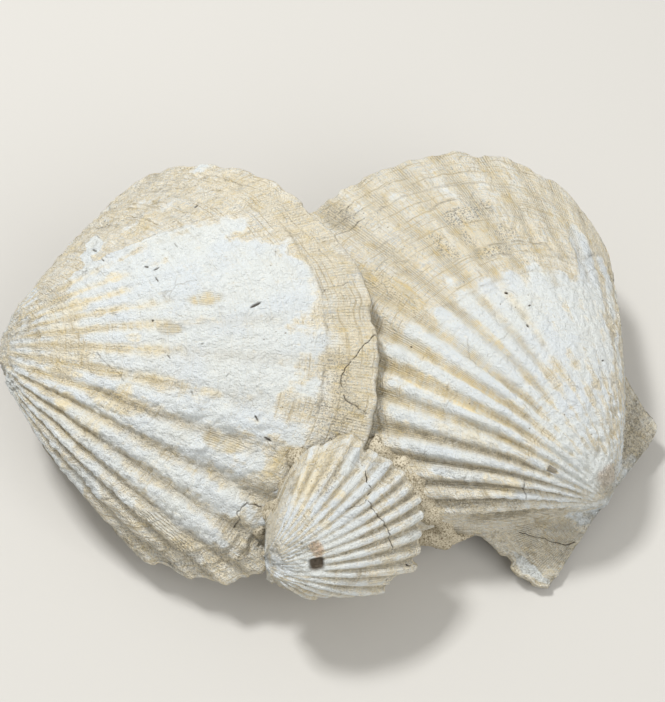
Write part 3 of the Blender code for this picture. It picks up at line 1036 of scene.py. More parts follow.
        numbers["fan"] = form.fan(angle)
        numbers["growth"] = share * float(form.reach(np.zeros(1))[0])
        numbers["inner"] = ease(side, 0.6, 1.0)
        return form.to_cluster(x, y, z), numbers

    def rib_share(self, angle: np.ndarray, share: np.ndarray) -> np.ndarray:
        """Part of the full rib height that wear has left at each angle."""
        full = straight_curve(self.rise, angle)
        return straight_curve(self.wear, angle) * ease(share, 0.25 * full, full)

    def paint(self, angle: np.ndarray, share: np.ndarray, flat: np.ndarray, wave: np.ndarray) -> dict:
        """Lay every mark of the valve on its points.

        Args:
            angle: angle of each point.
            share: share of each point.
            flat: the points in the valve's frame, in millimetres.
            wave: 1 on a rib's crest, -1 in a furrow; not used.

        Returns:
            One number from 0 to 1 for each kind of mark, lift in metres and inset.
        """
        masks = {mark.value: np.zeros(len(angle)) for mark in Mark}
        masks["grain"] += 0.25 + 0.75 * ease(cloud_noise(flat, 24.0, self.seed + 9), -0.5, 0.6)
        _, across = self.form.bulge(angle, share)
        masks["wrinkle"] += 0.3 + 0.7 * ease(share, 0.42, 0.2) + 0.7 * ease(across, 0.8, 0.4)
        masks["lift"] = np.zeros(len(angle))
        masks["inset"] = np.zeros(len(angle))
        wobble = cloud_noise(flat, 9.0, self.seed + 3)
        fine = cloud_noise(flat, 3.0, self.seed + 5)
        for mark in self.marks:
            if isinstance(mark, Patch):
                along = (share - mark.share) / mark.tall
                sideways = (angle - mark.angle - mark.slant * along) / mark.wide
                away = np.hypot(sideways, along) + PATCH_RAGGED[0] * wobble + PATCH_RAGGED[1] * fine
                self.lay(masks, mark.mark, mark.strength * ease(away, *PATCH_EDGE))
            elif isinstance(mark, Zone):
                edge = straight_curve(mark.edge, angle)
                edge = edge + ZONE_RAGGED[0] * wobble + ZONE_RAGGED[1] * fine
                self.lay(masks, mark.mark, mark.strength * ease((share - edge) / mark.soft, -0.5, 0.5))
            elif isinstance(mark, Line):
                distance = self.distance_to(mark.points, flat) - 0.12 * fine
                depth = mark.strength * np.clip(0.85 + 0.6 * wobble, 0.3, 1)
                self.lay(masks, Mark.CRACK, depth * ease(distance, mark.width, mark.width * 0.35))
            elif isinstance(mark, Ledge):
                self.lay_ledge(masks, mark, angle, share, wobble, fine)
            elif isinstance(mark, Pit):
                self.lay_pit(masks, mark, flat, fine)
            elif isinstance(mark, Chip):
                away = np.abs(angle - mark.angle)
                masks["inset"] += mark.depth * ease(away, mark.wide, mark.wide * 0.4)
        return masks

    def lay(self, masks: dict, mark: Mark, amount: np.ndarray) -> None:
        """Add one mark; white takes the stains away instead.

        Args:
            masks: the numbers laid so far; they are changed.
            mark: the mark.
            amount: how strongly it shows on each point.
        """
        if mark is Mark.WHITE:
            for name in ("cream", "ochre", "grime"):
                masks[name] *= 1 - amount
            masks["white"] = np.maximum(masks["white"], amount)
        else:
            masks[mark.value] = np.maximum(masks[mark.value], amount)

    def lay_pit(self, masks: dict, mark: Pit, flat: np.ndarray, fine: np.ndarray) -> None:
        """Darken and lower a small hole, round or square.

        Args:
            masks: the numbers laid so far; they are changed.
            mark: the hole.
            flat: the points in the valve's frame, in millimetres.
            fine: fine clouds that fray it.
        """
        turn = math.radians(mark.angle + mark.slant)
        shift = flat - self.locate(np.array([mark.angle]), np.array([mark.share]))[0]
        along = (shift[:, 0] * math.sin(turn) + shift[:, 1] * math.cos(turn)) / mark.tall
        sideways = (shift[:, 0] * math.cos(turn) - shift[:, 1] * math.sin(turn)) / mark.wide
        power = 5 if mark.square else 2
        away = (np.abs(along) ** power + np.abs(sideways) ** power) ** (1 / power)
        away = np.maximum(away, np.abs(shift[:, 2]) / 8)
        amount = ease(away + 0.2 * fine, *PIT_EDGE)
        self.lay(masks, Mark.CRACK, mark.dark * amount)
        masks["lift"] -= amount * (mark.depth - CRACK_DEPTH) * MM

    def lay_ledge(self, masks: dict, mark: Ledge, angle: np.ndarray, share: np.ndarray,
                  wobble: np.ndarray, fine: np.ndarray) -> None:
        """Lower or raise the margin's side of a broken layer and darken its edge.

        Args:
            masks: the numbers laid so far; they are changed.
            mark: the broken edge.
            angle: angle of each point.
            share: share of each point.
            wobble: wide clouds that bend the edge.
            fine: fine clouds that fray it.
        """
        low, high = mark.edge[0][0], mark.edge[-1][0]
        within = ease(angle, low, low + LEDGE_ENDS) * ease(angle, high, high - LEDGE_ENDS)
        edge = straight_curve(mark.edge, angle)
        edge = edge + LEDGE_RAGGED[0] * wobble + LEDGE_RAGGED[1] * fine
        beyond = (share - edge) * self.form.reach(angle)
        fade = ease(beyond, *LEDGE_FADE)
        masks["lift"] -= mark.drop * MM * within * ease(beyond, -0.35, 0.35) * fade
        broken = ease(fine + 0.5 * wobble, -0.55, 0.15)
        dark = mark.line * within * ease(np.abs(beyond), 0.7, 0.2) * broken
        masks["grime"] = np.maximum(masks["grime"], dark)

    def locate(self, angle: np.ndarray, share: np.ndarray) -> np.ndarray:
        """Points of the rib-free outside in the valve's frame.

        Args:
            angle: degrees from the valve's axis.
            share: share of the way from beak to margin.

        Returns:
            The points in millimetres, one row each.
        """
        height, _ = self.form.bulge(angle, share)
        length = share * self.form.reach(angle)
        turn = np.radians(angle)
        return np.column_stack((length * np.sin(turn), length * np.cos(turn), height))

    def distance_to(self, points: Curve, flat: np.ndarray) -> np.ndarray:
        """Distance in millimetres from each point to a jagged line.

        Args:
            points: angle and share of the line's corners.
            flat: the points in the valve's frame, in millimetres.

        Returns:
            One distance for each point.
        """
        knots = np.array(points, float)
        steps = np.linspace(0, len(knots) - 1, (len(knots) - 1) * 5 + 1)
        angle = np.interp(steps, np.arange(len(knots)), knots[:, 0])
        share = np.interp(steps, np.arange(len(knots)), knots[:, 1])
        line = self.locate(angle, share)
        jag = np.column_stack([lattice_noise(line, 1.1, self.seed + k) for k in range(2)])
        line[1:-1, :2] += 0.6 * jag[1:-1]
        nearest = np.full(len(flat), FAR)
        for start, end in itertools.pairwise(line):
            run = end - start
            t = np.clip((flat - start) @ run / max(run @ run, 1e-9), 0, 1)
            nearest = np.minimum(nearest, np.linalg.norm(flat - start - t[:, None] * run, axis=1))
        return nearest

    def build(self) -> bpy.types.Object:
        """Make the valve, sculpt it and hand it to the frame."""
        grid, faces = self.refine(*self.lay_grid())
        places, numbers = self.place_points(grid)
        mesh = bpy.data.meshes.new(self.node)
        mesh.from_pydata((places * MM).tolist(), [], faces)
        body = bmesh.new()
        body.from_mesh(mesh)
        bmesh.ops.recalc_face_normals(body, faces=body.faces[:])
        body.to_mesh(mesh)
        body.free()
        for name, values in numbers.items():
            layer = mesh.attributes.new(name, "FLOAT", "POINT")
            layer.data.foreach_set("value", np.asarray(values, np.float32))
        thing = add_thing(self.node + "_worn", mesh)
        run_tree(thing, build_sculpture(self.node + "_sculpture"), {
            "Rib relief": self.sculpt.ribs / 2 * MM,
            "Wrinkle relief": self.sculpt.wrinkles * MM,
            "Crust relief": self.sculpt.crust * MM,
            "Crack depth": self.sculpt.crack * MM,
            "Furrow sharpness": self.sculpt.furrow_sharpness,
            "Wrinkle pitch": self.sculpt.wrinkle_pitch,
            "Crust pitch": self.sculpt.crust_pitch,
            "Seed": float(self.sculpt.seed),
            "Finish": self.finish.make(),
        })
        keep_inside(thing)
        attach(thing, "root")
        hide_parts(self.node)
        LOG.info("%s: %d faces", thing.name, len(thing.data.polygons))
        return thing


LEFT_FORM = ValveForm(
    beak=(-121.5, 4.1, 29.3), axis=(0.938, -0.224, 0.265), outward=(-0.335, -0.385, 0.86),
    margin=((-78, 15), (-66, 34), (-61, 60), (-57, 81), (-50, 97), (-43, 109), (-34, 122), (-24, 132),
            (-14, 142), (-4, 146), (6, 147), (14, 143), (24, 134), (34, 131), (40, 121), (45, 107),
            (50, 90), (52, 75), (54, 54), (59, 48), (63, 41), (69, 29), (78, 14)),
    flanks=(-63, 60),
    furrows=(-58, -53, -48, -43, -37, -31, -25, -19.5, -14, -8, -1, 7, 15, 22.5, 29.5, 35.5, 40.5,
             45.5, 51),
    dome=34, crest=0.34, fall=1.7, lean=4, relief=1.7, thickness=3.8)

RIGHT_FORM = ValveForm(
    beak=(100.2, -51.4, 9.0), axis=(-0.682, 0.633, 0.366), outward=(0.22, -0.3, 0.928),
    margin=((-100, 38), (-86, 42), (-71, 44), (-60, 48), (-57, 55), (-53, 88), (-45, 114), (-32, 138),
            (-18, 151), (-5, 156), (8, 154), (20, 150), (31, 141), (40, 127), (46, 111), (49, 102),
            (50, 90), (54, 67), (58, 54), (66, 48), (74, 44), (81, 42), (84, 37)),
    flanks=(-58, 58),
    furrows=(-52.5, -47.5, -42.5, -37, -31, -24.5, -18.5, -12.5, -6.5, 0.5, 7, 13, 20, 27, 32.5, 37.5,
             42.5, 48, 53),
    dome=34, crest=0.34, fall=1.7, lean=4, relief=2.2, thickness=3.8)

SMALL_FORM = ValveForm(
    beak=(-23.7, -82.9, 36.8), axis=(0.904, 0.319, 0.285), outward=(0.014, -0.69, 0.724),
    margin=((-62, 12), (-52, 21), (-47, 35), (-38, 46), (-28, 54), (-22, 53), (-10, 56), (5, 58),
            (20, 55), (31, 53), (38, 46), (44, 44), (52, 34), (58, 28), (70, 23), (80, 18), (96, 13),
            (110, 10)),
    flanks=(-60, 100),
    furrows=(-43.5, -38.5, -33, -27, -21, -15, -9.5, -3.5, 2, 7.5, 14, 20.5, 27, 34, 41, 48.5, 55, 63,
             71),
    dome=15, crest=0.36, fall=1.8, lean=1.5, relief=1.8, thickness=2.2)

LEFT_MARKS = (
    Zone(Mark.CREAM, ((-80, 0.3), (-50, 0.3), (-36, 0.3), (-31, 0.86), (-22, 0.87), (-17, 0.9),
                      (-4, 0.89), (8, 0.89), (12, 0.84), (18, 0.84), (24, 0.9), (34, 0.93), (40, 0.66),
                      (46, 0.66), (52, 0.8), (80, 0.8)), 0.11, 0.95),
    *patches(Mark.CREAM, (-10, 0.2, 60, 0.16, 0.25)),
    *patches(Mark.OCHRE, (-26, 0.94, 16, 0.05, 0.3), (0, 0.95, 10, 0.05, 0.4)),
    *patches(Mark.WHITE, (-42, 0.52, 3, 0.05, 0.8, -4), (-36, 0.45, 4, 0.04, 0.9, -6),
             (-28, 0.38, 5, 0.03, 0.8, -6), (19, 0.95, 8, 0.05, 0.9)),
    *patches(Mark.OCHRE, (15.5, 0.86, 3.0, 0.02, 0.7), (16, 0.74, 1.7, 0.05, 0.75),
             (-13.2, 0.64, 1.7, 0.045, 0.7), (-6.5, 0.55, 1.4, 0.025, 0.6), (7, 0.65, 1.2, 0.03, 0.5),
             (12.5, 0.465, 3.0, 0.02, 0.8), (17, 0.45, 2.0, 0.06, 0.6), (27, 0.44, 3.5, 0.04, 0.55),
             (23, 0.35, 4.5, 0.025, 0.7), (-19, 0.35, 3.0, 0.03, 0.6), (-10, 0.29, 18, 0.04, 0.4),
             (2.5, 0.33, 2.0, 0.05, 0.6), (11, 0.31, 2.0, 0.06, 0.6), (-25.5, 0.47, 2.0, 0.02, 0.5),
             (-4.5, 0.46, 1.5, 0.02, 0.5), (38, 0.8, 2.0, 0.1, 0.35)),
    *patches(Mark.CREAM, (30, 0.93, 9, 0.07, 0.6)),
    Ledge(((24, 0.985), (26, 0.95), (29, 0.93), (33, 0.94), (35, 0.985)), 0.8, 0.8),
    Ledge(((26, 0.93), (28, 0.905), (31, 0.9), (35, 0.915)), 0.5, 0.8),
    Ledge(((30, 0.95), (33, 0.9), (36, 0.87), (40, 0.86), (44, 0.89), (47, 0.94)), 0.9, 0.6),
    Ledge(((33, 0.97), (36, 0.935), (40, 0.92), (43, 0.94), (46, 0.98)), 0.8, 0.7),
    Ledge(((42, 0.86), (46, 0.82), (50, 0.84), (54, 0.9)), 0.7, 0.6),
    Ledge(((-26, 0.92), (-20, 0.907), (-13, 0.902), (-5, 0.895), (4, 0.885), (8, 0.885)), 0.35, 0.9),
    Ledge(((9, 0.99), (10, 0.92), (12, 0.895), (16, 0.885), (22, 0.905), (28, 0.905), (36, 0.91)),
          -0.5, 0.9),
    *patches(Mark.RIBLETS, (-8, 0.96, 22, 0.07, 0.4), (16, 0.74, 1.8, 0.05, 1.0),
             (-13.2, 0.64, 1.9, 0.05, 0.7), (-6.5, 0.55, 1.5, 0.03, 0.9), (38, 0.8, 2.4, 0.1, 1.0)),
    *patches(Mark.SPECKS, (4, 0.92, 8, 0.05, 0.7), (31, 0.5, 4, 0.1, 0.5), (23, 0.56, 2, 0.08, 0.5),
             (2.5, 0.33, 1.5, 0.06, 0.6), (11, 0.31, 1.5, 0.06, 0.5), (32, 0.9, 5, 0.05, 0.6),
             (-30, 0.3, 10, 0.05, 0.5), (16, 0.5, 1.8, 0.07, 0.6), (40, 0.9, 10, 0.09, 0.6)),
    *patches(Mark.SMOOTH, (-12, 0.64, 18, 0.26, 1.0)),
    *patches(Mark.GRAIN, (22, 0.6, 26, 0.32, 1.3), (0, 0.1, 80, 0.14, 1.6), (38, 0.93, 12, 0.12, 1.2),
             (58, 0.45, 9, 0.4, 1.5), (-70, 0.5, 10, 0.5, 1.2), (29, 0.93, 5, 0.08, 1.4),
             (-48, 0.75, 16, 0.3, 1.3)),
    *patches(Mark.WRINKLE, (40, 0.92, 14, 0.1, 1.6), (20, 0.96, 9, 0.05, 1.0),
             (-46, 0.7, 20, 0.32, 1.7), (-15, 0.95, 30, 0.05, 1.0)),
    *patches(Mark.BOLD, (30, 0.6, 22, 0.4, 1.0)),
    *patches(Mark.FURROW_OCHRE, (5, 0.36, 36, 0.2, 0.7)),
    *patches(Mark.FURROW_GRIME, (32, 0.6, 22, 0.4, 0.6), (0, 0.5, 14, 0.4, 0.3)),
    Line(((-44, 0.92), (-40, 0.945), (-34, 0.95), (-27, 0.96)), 0.2, 0.5),
    Line(((-51, 0.8), (-46, 0.83), (-42, 0.88), (-37, 0.89)), 0.18, 0.45),
    Line(((-50, 0.62), (-46, 0.66), (-41, 0.69)), 0.18, 0.45),
    Line(((-20, 0.955), (-14, 0.945), (-9, 0.95)), 0.18, 0.4),
    Line(((-5.6, 1.0), (-4, 0.972), (-2.3, 0.955), (-0.8, 0.938), (0.3, 0.93), (2, 0.93), (3.6, 0.935),
          (4.4, 0.95), (5.4, 0.99)), 0.24, 0.9),
    Line(((-13.8, 0.985), (-13.1, 0.95), (-13, 0.925), (-12.2, 0.905)), 0.2, 0.8),
    Line(((1.0, 0.37), (3.5, 0.385), (6, 0.42), (9, 0.45)), 0.24, 0.5),
    Line(((24, 0.905), (24.3, 0.87), (26.5, 0.865), (27.5, 0.88), (29.5, 0.885)), 0.3, 0.8),
    Pit(-10.8, 0.75, 0.45, 1.9, 1.0, slant=-25, dark=0.7),
    Pit(-25, 0.56, 0.3, 0.9, 0.8, slant=40, dark=0.7),
    Pit(-23.3, 0.577, 0.35, 1.2, 0.8, slant=-20, dark=0.75),
    Pit(-20.4, 0.56, 0.25, 1.0, 0.8, slant=70, dark=0.7), Pit(-36, 0.795, 0.3, 0.9, 0.8, dark=0.7),
    Pit(12.8, 0.81, 0.45, 1.5, 1.0, slant=15, dark=0.7),
    Pit(9.8, 0.765, 0.3, 1.2, 0.8, slant=50, dark=0.7), Pit(-9, 0.51, 0.35, 0.35, dark=0.8),
    Pit(-39.5, 0.5, 0.25, 1.4, 1.0, slant=60, dark=0.7),
    Pit(0.5, 0.545, 0.2, 1.0, 0.7, slant=45, dark=0.6),
    Pit(-33.5, 0.483, 0.25, 0.8, 0.7, slant=60, dark=0.7),
    Pit(-33, 0.42, 0.3, 1.0, 0.7, slant=20, dark=0.5),
    Pit(-28, 0.66, 0.25, 1.2, 0.7, slant=75, dark=0.4),
    Pit(3, 0.68, 0.25, 0.9, 0.7, slant=-60, dark=0.4),
    Pit(-3, 0.62, 0.3, 0.7, 0.7, slant=-30, dark=0.35),
    Pit(8, 0.61, 0.25, 0.8, 0.7, slant=60, dark=0.4),
    *itertools.starmap(Chip, ((-8.5, 2.0, 1.3), (1.5, 1.5, 0.9), (45, 2.5, 1.4), (37, 1.6, 1.2),
                              (-27, 2.0, 0.8), (41.5, 1.4, 1.4), (34.5, 1.2, 1.0), (53, 1.6, 1.2),
                              (58, 1.5, 1.6), (65, 1.8, 1.4))),
)

RIGHT_MARKS = (
    Zone(Mark.CREAM, ((-110, 0.2), (-52, 0.3), (-36, 0.63), (-12, 0.66), (-6, 0.64), (0, 0.62),
                      (35, 0.61), (38, 0.8), (48, 0.85), (60, 0.6), (90, 0.6)), 0.08, 0.9),
    *patches(Mark.CREAM, (0, 0.26, 70, 0.1, 0.2)),
    *patches(Mark.WHITE, (10, 0.2, 50, 0.12, 0.3)),
    *patches(Mark.OCHRE, (-24.6, 0.5, 1.2, 0.16, 0.65), (-18.8, 0.5, 1.8, 0.17, 0.85),
             (-12.8, 0.48, 1.5, 0.16, 0.85), (-7, 0.44, 1.2, 0.07, 0.6), (1.2, 0.49, 1.1, 0.06, 0.75),
             (0.3, 0.37, 1.5, 0.02, 0.6), (-41, 0.38, 4, 0.06, 0.6), (-28, 0.45, 3, 0.08, 0.4),
             (-5, 0.72, 3.0, 0.08, 0.6), (1.5, 0.97, 2.4, 0.04, 0.35), (9, 0.74, 1.6, 0.06, 0.5),
             (16.5, 0.72, 3.0, 0.06, 0.35)),
    # The white patches on the lower ear (-82) and the upper ear (70) are partly the ears' paler shell and
    # partly painted light: they brighten ears that the dome shades from the overhead lamp.
    *patches(Mark.WHITE, (-82, 0.9, 16, 0.08, 0.6), (70, 0.6, 16, 0.4, 0.26)),
    *patches(Mark.CREAM, (48, 0.45, 9, 0.28, 0.55), (24, 0.2, 20, 0.1, 0.45), (68, 0.7, 18, 0.4, 0.4)),
    *patches(Mark.GRIME, (74, 0.8, 10, 0.3, 0.3), (0.5, 0.96, 2.6, 0.05, 0.3),
             (10, 0.06, 40, 0.05, 0.35)),
    *patches(Mark.OCHRE, (-27.5, 0.235, 1.6, 0.02, 0.8)),
    Ledge(((-64, 0.5), (-74, 0.45), (-86, 0.4), (-98, 0.35)), 0.5, 0.7),
    Ledge(((-62, 0.82), (-72, 0.76), (-84, 0.7), (-98, 0.55)), 0.8, 1.0),
    Ledge(((-66, 0.93), (-74, 0.9), (-82, 0.87), (-89, 0.8), (-95, 0.71), (-101, 0.6)), 1.3, 0.9),
    Ledge(((11, 0.83), (14, 0.845), (18, 0.845), (20, 0.8), (24, 0.8)), 0.4, 1.0),
    Ledge(((2, 0.905), (12, 0.9), (24, 0.885), (36, 0.87)), 0.2, 0.6),
    Ledge(((-6, 0.83), (2, 0.82), (10, 0.815)), 0.2, 0.6),
    Ledge(((12, 0.69), (20, 0.695), (30, 0.69)), 0.3, 0.9),
    Ledge(((13, 0.66), (20, 0.66), (27, 0.66)), 0.3, 0.9),
    *patches(Mark.WHITE, (39, 0.7, 3.0, 0.12, 0.8)),
    Ledge(((-3, 0.62), (2, 0.602), (10, 0.6), (20, 0.6), (26, 0.602), (34, 0.6), (38, 0.63)),
          -0.4, 0.35),
    Ledge(((26.5, 0.8), (27.6, 0.71), (30, 0.655), (34, 0.67), (38, 0.7), (42, 0.78), (46, 0.88)),
          -0.4, 0.5),
    *patches(Mark.FURROW_RIBLETS, (15, 0.85, 45, 0.25, 0.85), (-20, 0.5, 32, 0.3, 0.9)),
    *patches(Mark.GRAIN, (-80, 0.6, 24, 0.4, 0.7), (70, 0.7, 16, 0.4, 1.6), (-84, 0.9, 22, 0.12, 2.2),
             (20, 0.14, 45, 0.16, 1.4), (-40, 0.4, 18, 0.3, 1.0), (20, 0.3, 34, 0.16, 0.8)),
    *patches(Mark.RIBLETS, (-78, 0.5, 26, 0.4, 0.8)),
    *patches(Mark.FURROW_OCHRE, (18, 0.85, 40, 0.25, 0.25), (-20, 0.5, 18, 0.25, 0.7),
             (5, 0.6, 14, 0.3, 0.35)),
    *patches(Mark.SPECKS, (15.5, 0.79, 3.5, 0.03, 1.0), (20.5, 0.8, 2.0, 0.03, 0.9),
             (17, 0.675, 4.5, 0.015, 0.9), (9, 0.73, 1.5, 0.05, 0.9), (22, 0.72, 2.0, 0.03, 0.7),
             (14, 0.73, 1.2, 0.03, 0.7), (-31, 0.45, 1.2, 0.2, 0.6), (-40, 0.5, 3, 0.06, 0.6),
             (72, 0.75, 12, 0.3, 0.8), (-83, 0.92, 14, 0.06, 0.6), (1, 0.955, 2.6, 0.05, 0.7),
             (10, 0.08, 30, 0.05, 0.6)),
    *patches(Mark.WRINKLE, (-80, 0.6, 20, 0.5, 2.2), (15, 0.85, 40, 0.2, 0.5)),
    *patches(Mark.RUST, (5, 0.09, 18, 0.03, 0.45)),
    *patches(Mark.SMOOTH, (15, 0.5, 40, 0.12, 0.8)),
    *patches(Mark.BOLD, (-30, 0.45, 26, 0.45, 1.0)),
    *patches(Mark.FURROW_GRIME, (-42, 0.42, 14, 0.4, 1.0), (-22, 0.4, 10, 0.3, 0.25)),
    Line(((-2, 0.96), (0.5, 0.955), (3, 0.96)), 0.2, 0.6),
    Line(((-2.5, 0.93), (0, 0.935), (4, 0.93)), 0.2, 0.5),
    Line(((-4, 0.78), (-1, 0.785), (3, 0.78)), 0.18, 0.4),
    Line(((-62, 0.72), (-66, 0.67), (-72, 0.59), (-78, 0.55), (-84, 0.5), (-95, 0.42)), 0.24, 0.8),
    Line(((-45, 0.335), (-41, 0.325), (-38, 0.313)), 0.35, 0.5),
    Line(((-3, 0.91), (0, 0.905), (3, 0.905)), 0.28, 0.6),
    Pit(-27.6, 0.232, 1.3, 2.0, 1.1, square=True, dark=0.6), Pit(12.1, 0.467, 0.5, 0.7, 1.4),
    Pit(13, 0.562, 0.7, 0.5, 0.7, slant=30), Pit(16.2, 0.512, 0.6, 0.35, 0.7),
    Pit(-12.6, 0.62, 0.35, 0.35), Pit(34.5, 0.37, 0.6, 0.3, 0.7),
    *itertools.starmap(Chip, ((3, 1.2, 1.0), (17, 1.4, 0.8), (26, 1.2, 0.9), (36, 1.8, 1.2),
                              (-74, 4, 1.6), (-88, 4, 1.0))),
)

SMALL_MARKS = (
    Zone(Mark.CREAM, ((-70, 0.5), (-20, 0.85), (0, 0.78), (30, 0.6), (120, 0.4)), 0.3, 0.45),
    *patches(Mark.OCHRE, (-12, 0.475, 4, 0.03, 0.5), (-19, 0.67, 4, 0.04, 0.6),
             (-36, 0.72, 7, 0.25, 0.6)),
    *patches(Mark.WHITE, (-24, 0.88, 4, 0.1, 0.9), (-14, 0.92, 3, 0.06, 0.8), (2, 0.53, 7, 0.12, 0.7),
             (29, 0.35, 3, 0.05, 0.9)),
    *patches(Mark.RUST, (3, 0.345, 10, 0.035, 0.8)),
    *patches(Mark.GRAIN, (10, 0.15, 50, 0.18, 2.0)),
    *patches(Mark.SPECKS, (-28, 0.68, 5, 0.12, 0.7), (10, 0.95, 30, 0.06, 0.5),
             (19, 0.335, 6, 0.05, 1.0), (-5, 0.3, 12, 0.05, 0.6), (40, 0.6, 10, 0.1, 0.4)),
    *patches(Mark.SMOOTH, (0, 0.52, 12, 0.14, 1.0)),
    *patches(Mark.FURROW_GRIME, (20, 0.75, 60, 0.35, 0.95), (20, 0.25, 60, 0.15, 0.3)),
    Line(((-21.5, 0.93), (-19.6, 0.905), (-17.5, 0.88), (-15.2, 0.861), (-13.5, 0.825), (-9.6, 0.803),
          (-9, 0.77)), 0.24),
    Line(((-7.9, 0.739), (-5, 0.745), (-3.2, 0.735), (1.1, 0.74), (5.7, 0.752), (11, 0.77), (16, 0.79),
          (20, 0.814)), 0.22, 0.8),
    Line(((-7.9, 0.739), (-7.8, 0.7), (-9.5, 0.65), (-11, 0.62)), 0.22, 0.5),
    Pit(19, 0.335, 2.5, 2.4, 1.5, square=True, dark=0.8), Pit(28.7, 0.95, 0.4, 0.5),
    Pit(36, 0.93, 0.4, 0.4),
    *itertools.starmap(Chip, ((-36, 3, 1.6), (-22.4, 2, 1.4), (28, 1.6, 0.8), (37, 2.4, 1.4),
                              (46, 2.5, 1.0))),
)


@dataclass(frozen=True)
class RockFinish(Finish):
    """Weathered sandy matrix: rough, dry, speckled with dark and pale grains."""

    light: str = "#d2c8b1"
    dark: str = "#b0a58d"
    grain_dark: str = "#7f755f"
    grain_pale: str = "#dcd5c2"
    roughness: float = 0.92
    gloss: float = 0.2
    blotch_size: float = 7.0
    sand_size: float = 0.6  # a medium sand grain, drawn a little coarser than real
    bump_depth: float = 0.8
    bump_strength: float = 0.8

    def surface(self, put: Put) -> Any:
        """Speckle two shades of stone at the size of the sand.

        Args:
            put: adds a node to the material's tree.

        Returns:
            The shader.
        """
        place = put(Node.PLACE)
        blotch = put(Node.NOISE, place, 1 / (self.blotch_size * MM), 4)
        sand = put(Node.NOISE, place, 1 / (self.sand_size * MM), 3)
        colour = linear(self.dark)
        for noise, low, high, over in (
            (blotch, 0.35, 0.65, self.light),
            (sand, 0.5, 0.66, self.grain_dark),
            (sand, 0.48, 0.3, self.grain_pale),
        ):
            colour = put(Node.BLEND, put(Node.SPREAD, noise, low, high), colour, linear(over))
        bump = put(Node.BUMP, sand, self.bump_depth * MM, self.bump_strength)
        return put(Node.SURFACE, colour, self.roughness, self.gloss, bump)


@dataclass(frozen=True)
class GrainFinish(Finish):
    """Loose quartz sand: small hard grains, each its own shade from grey to cream, slightly glossy."""

    dark: str = "#7a6c55"
    light: str = "#d0c6ae"
    roughness: float = 0.55

    def surface(self, put: Put) -> Any:
        """Shade each grain by the tint that it carries."""
        tint = put(Node.OWN, attribute_name="tint")
        colour = put(Node.BLEND, tint, linear(self.dark), linear(self.light))
        return put(Node.SURFACE, colour, self.roughness)


@dataclass(frozen=True)
class Lump:
    """A knob of matrix, placed in the frame where the cluster was laid out."""

    place: tuple[float, float, float]
    size: tuple[float, float, float]


@dataclass
class SandyRock:
    """The sandy matrix that fills and cements the valves."""

    node: str
    finish: RockFinish
    knobs: Sequence[Lump]
    voxel: float = 1.3
    swell: float = 0.7  # how far the rock grows outwards
    sink: float = 0.5  # how far it goes back after that
    lumps: float = 1.0  # height of the lumps 6 mm across
    grit: float = 0.6  # height of those 3 mm across
    hills: float = 1.7  # height of those 16 mm across
    proudest: float = 0.9  # furthest that any place stands out

    def build(self) -> bpy.types.Object:
        """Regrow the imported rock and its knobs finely, roughen it and hand it to the frame."""
        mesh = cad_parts[self.node].data.copy()
        body = bmesh.new()
        body.from_mesh(mesh)
        bmesh.ops.remove_doubles(body, verts=body.verts[:], dist=0.01 * MM)
        for knob in self.knobs:
            place = (Vector(knob.place) + Vector(CLUSTER_SHIFT)) * MM
            stretch = Matrix.Translation(place) @ Matrix.Diagonal((*(Vector(knob.size) * MM), 1.0))
            bmesh.ops.create_icosphere(body, subdivisions=3, radius=1.0, matrix=stretch)
        body.to_mesh(mesh)
        body.free()
        thing = add_thing(self.node + "_rough", mesh)
        modifier = thing.modifiers.new("grow", "REMESH")
        modifier.mode = "VOXEL"
        modifier.voxel_size = self.voxel * MM
        keep_result(thing, modifier)
        mesh = thing.data
        places = read_vectors(mesh, "co") / MM
        offset = self.swell + self.lumps * cloud_noise(places, 6.0, 11, 3)
        rough = self.grit * cloud_noise(places, 3.0, 15, 2)
        offset += rough + self.hills * cloud_noise(places, 16.0, 17, 2)
        offset = np.minimum(offset - self.sink, self.proudest)
        moved = places + read_vectors(mesh, "normal") * offset[:, None]
        moved[:, 2] = np.maximum(moved[:, 2], 0.0)
        mesh.vertices.foreach_set("co", (moved * MM).ravel())
        mesh.polygons.foreach_set("use_smooth", np.ones(len(mesh.polygons), bool))
        mesh.materials.clear()
        mesh.materials.append(self.finish.make())
        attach(thing, "root")
        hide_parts(self.node)
        LOG.info("%s: %d faces", thing.name, len(mesh.polygons))
        return thing


def build_scatter(name: str) -> bpy.types.NodeTree:
    """Make the tree that strews sand grains over the open parts of a surface.

    Args:
        name: name of the tree.

    Returns:
        The geometry tree; it reads how open each face lies from the attribute "open".
    """
    labels = ("Grains per square metre", "Smallest radius", "Largest radius")
    tree, put, given = start_tree(name, labels, ("Seed",))
    density = put(Node.MULTIPLY, put(Node.NAMED, "open"), given["Grains per square metre"])
    spots = put(Node.STREW, given["Geometry"], density, given["Seed"])
    size = put(Node.RANDOM, given["Smallest radius"], given["Largest radius"], given["Seed"])
    strewn = put(Node.PLANT, spots, put(Node.BALL, 1.0, 1), spots.node.outputs["Rotation"], size)
    shade = put(Node.RANDOM, 0.0, 1.0, 7)
    tinted = put(Node.STORE, strewn, "tint", shade, domain="INSTANCE")
    end_tree(put, tinted, given["Finish"])
    return tree


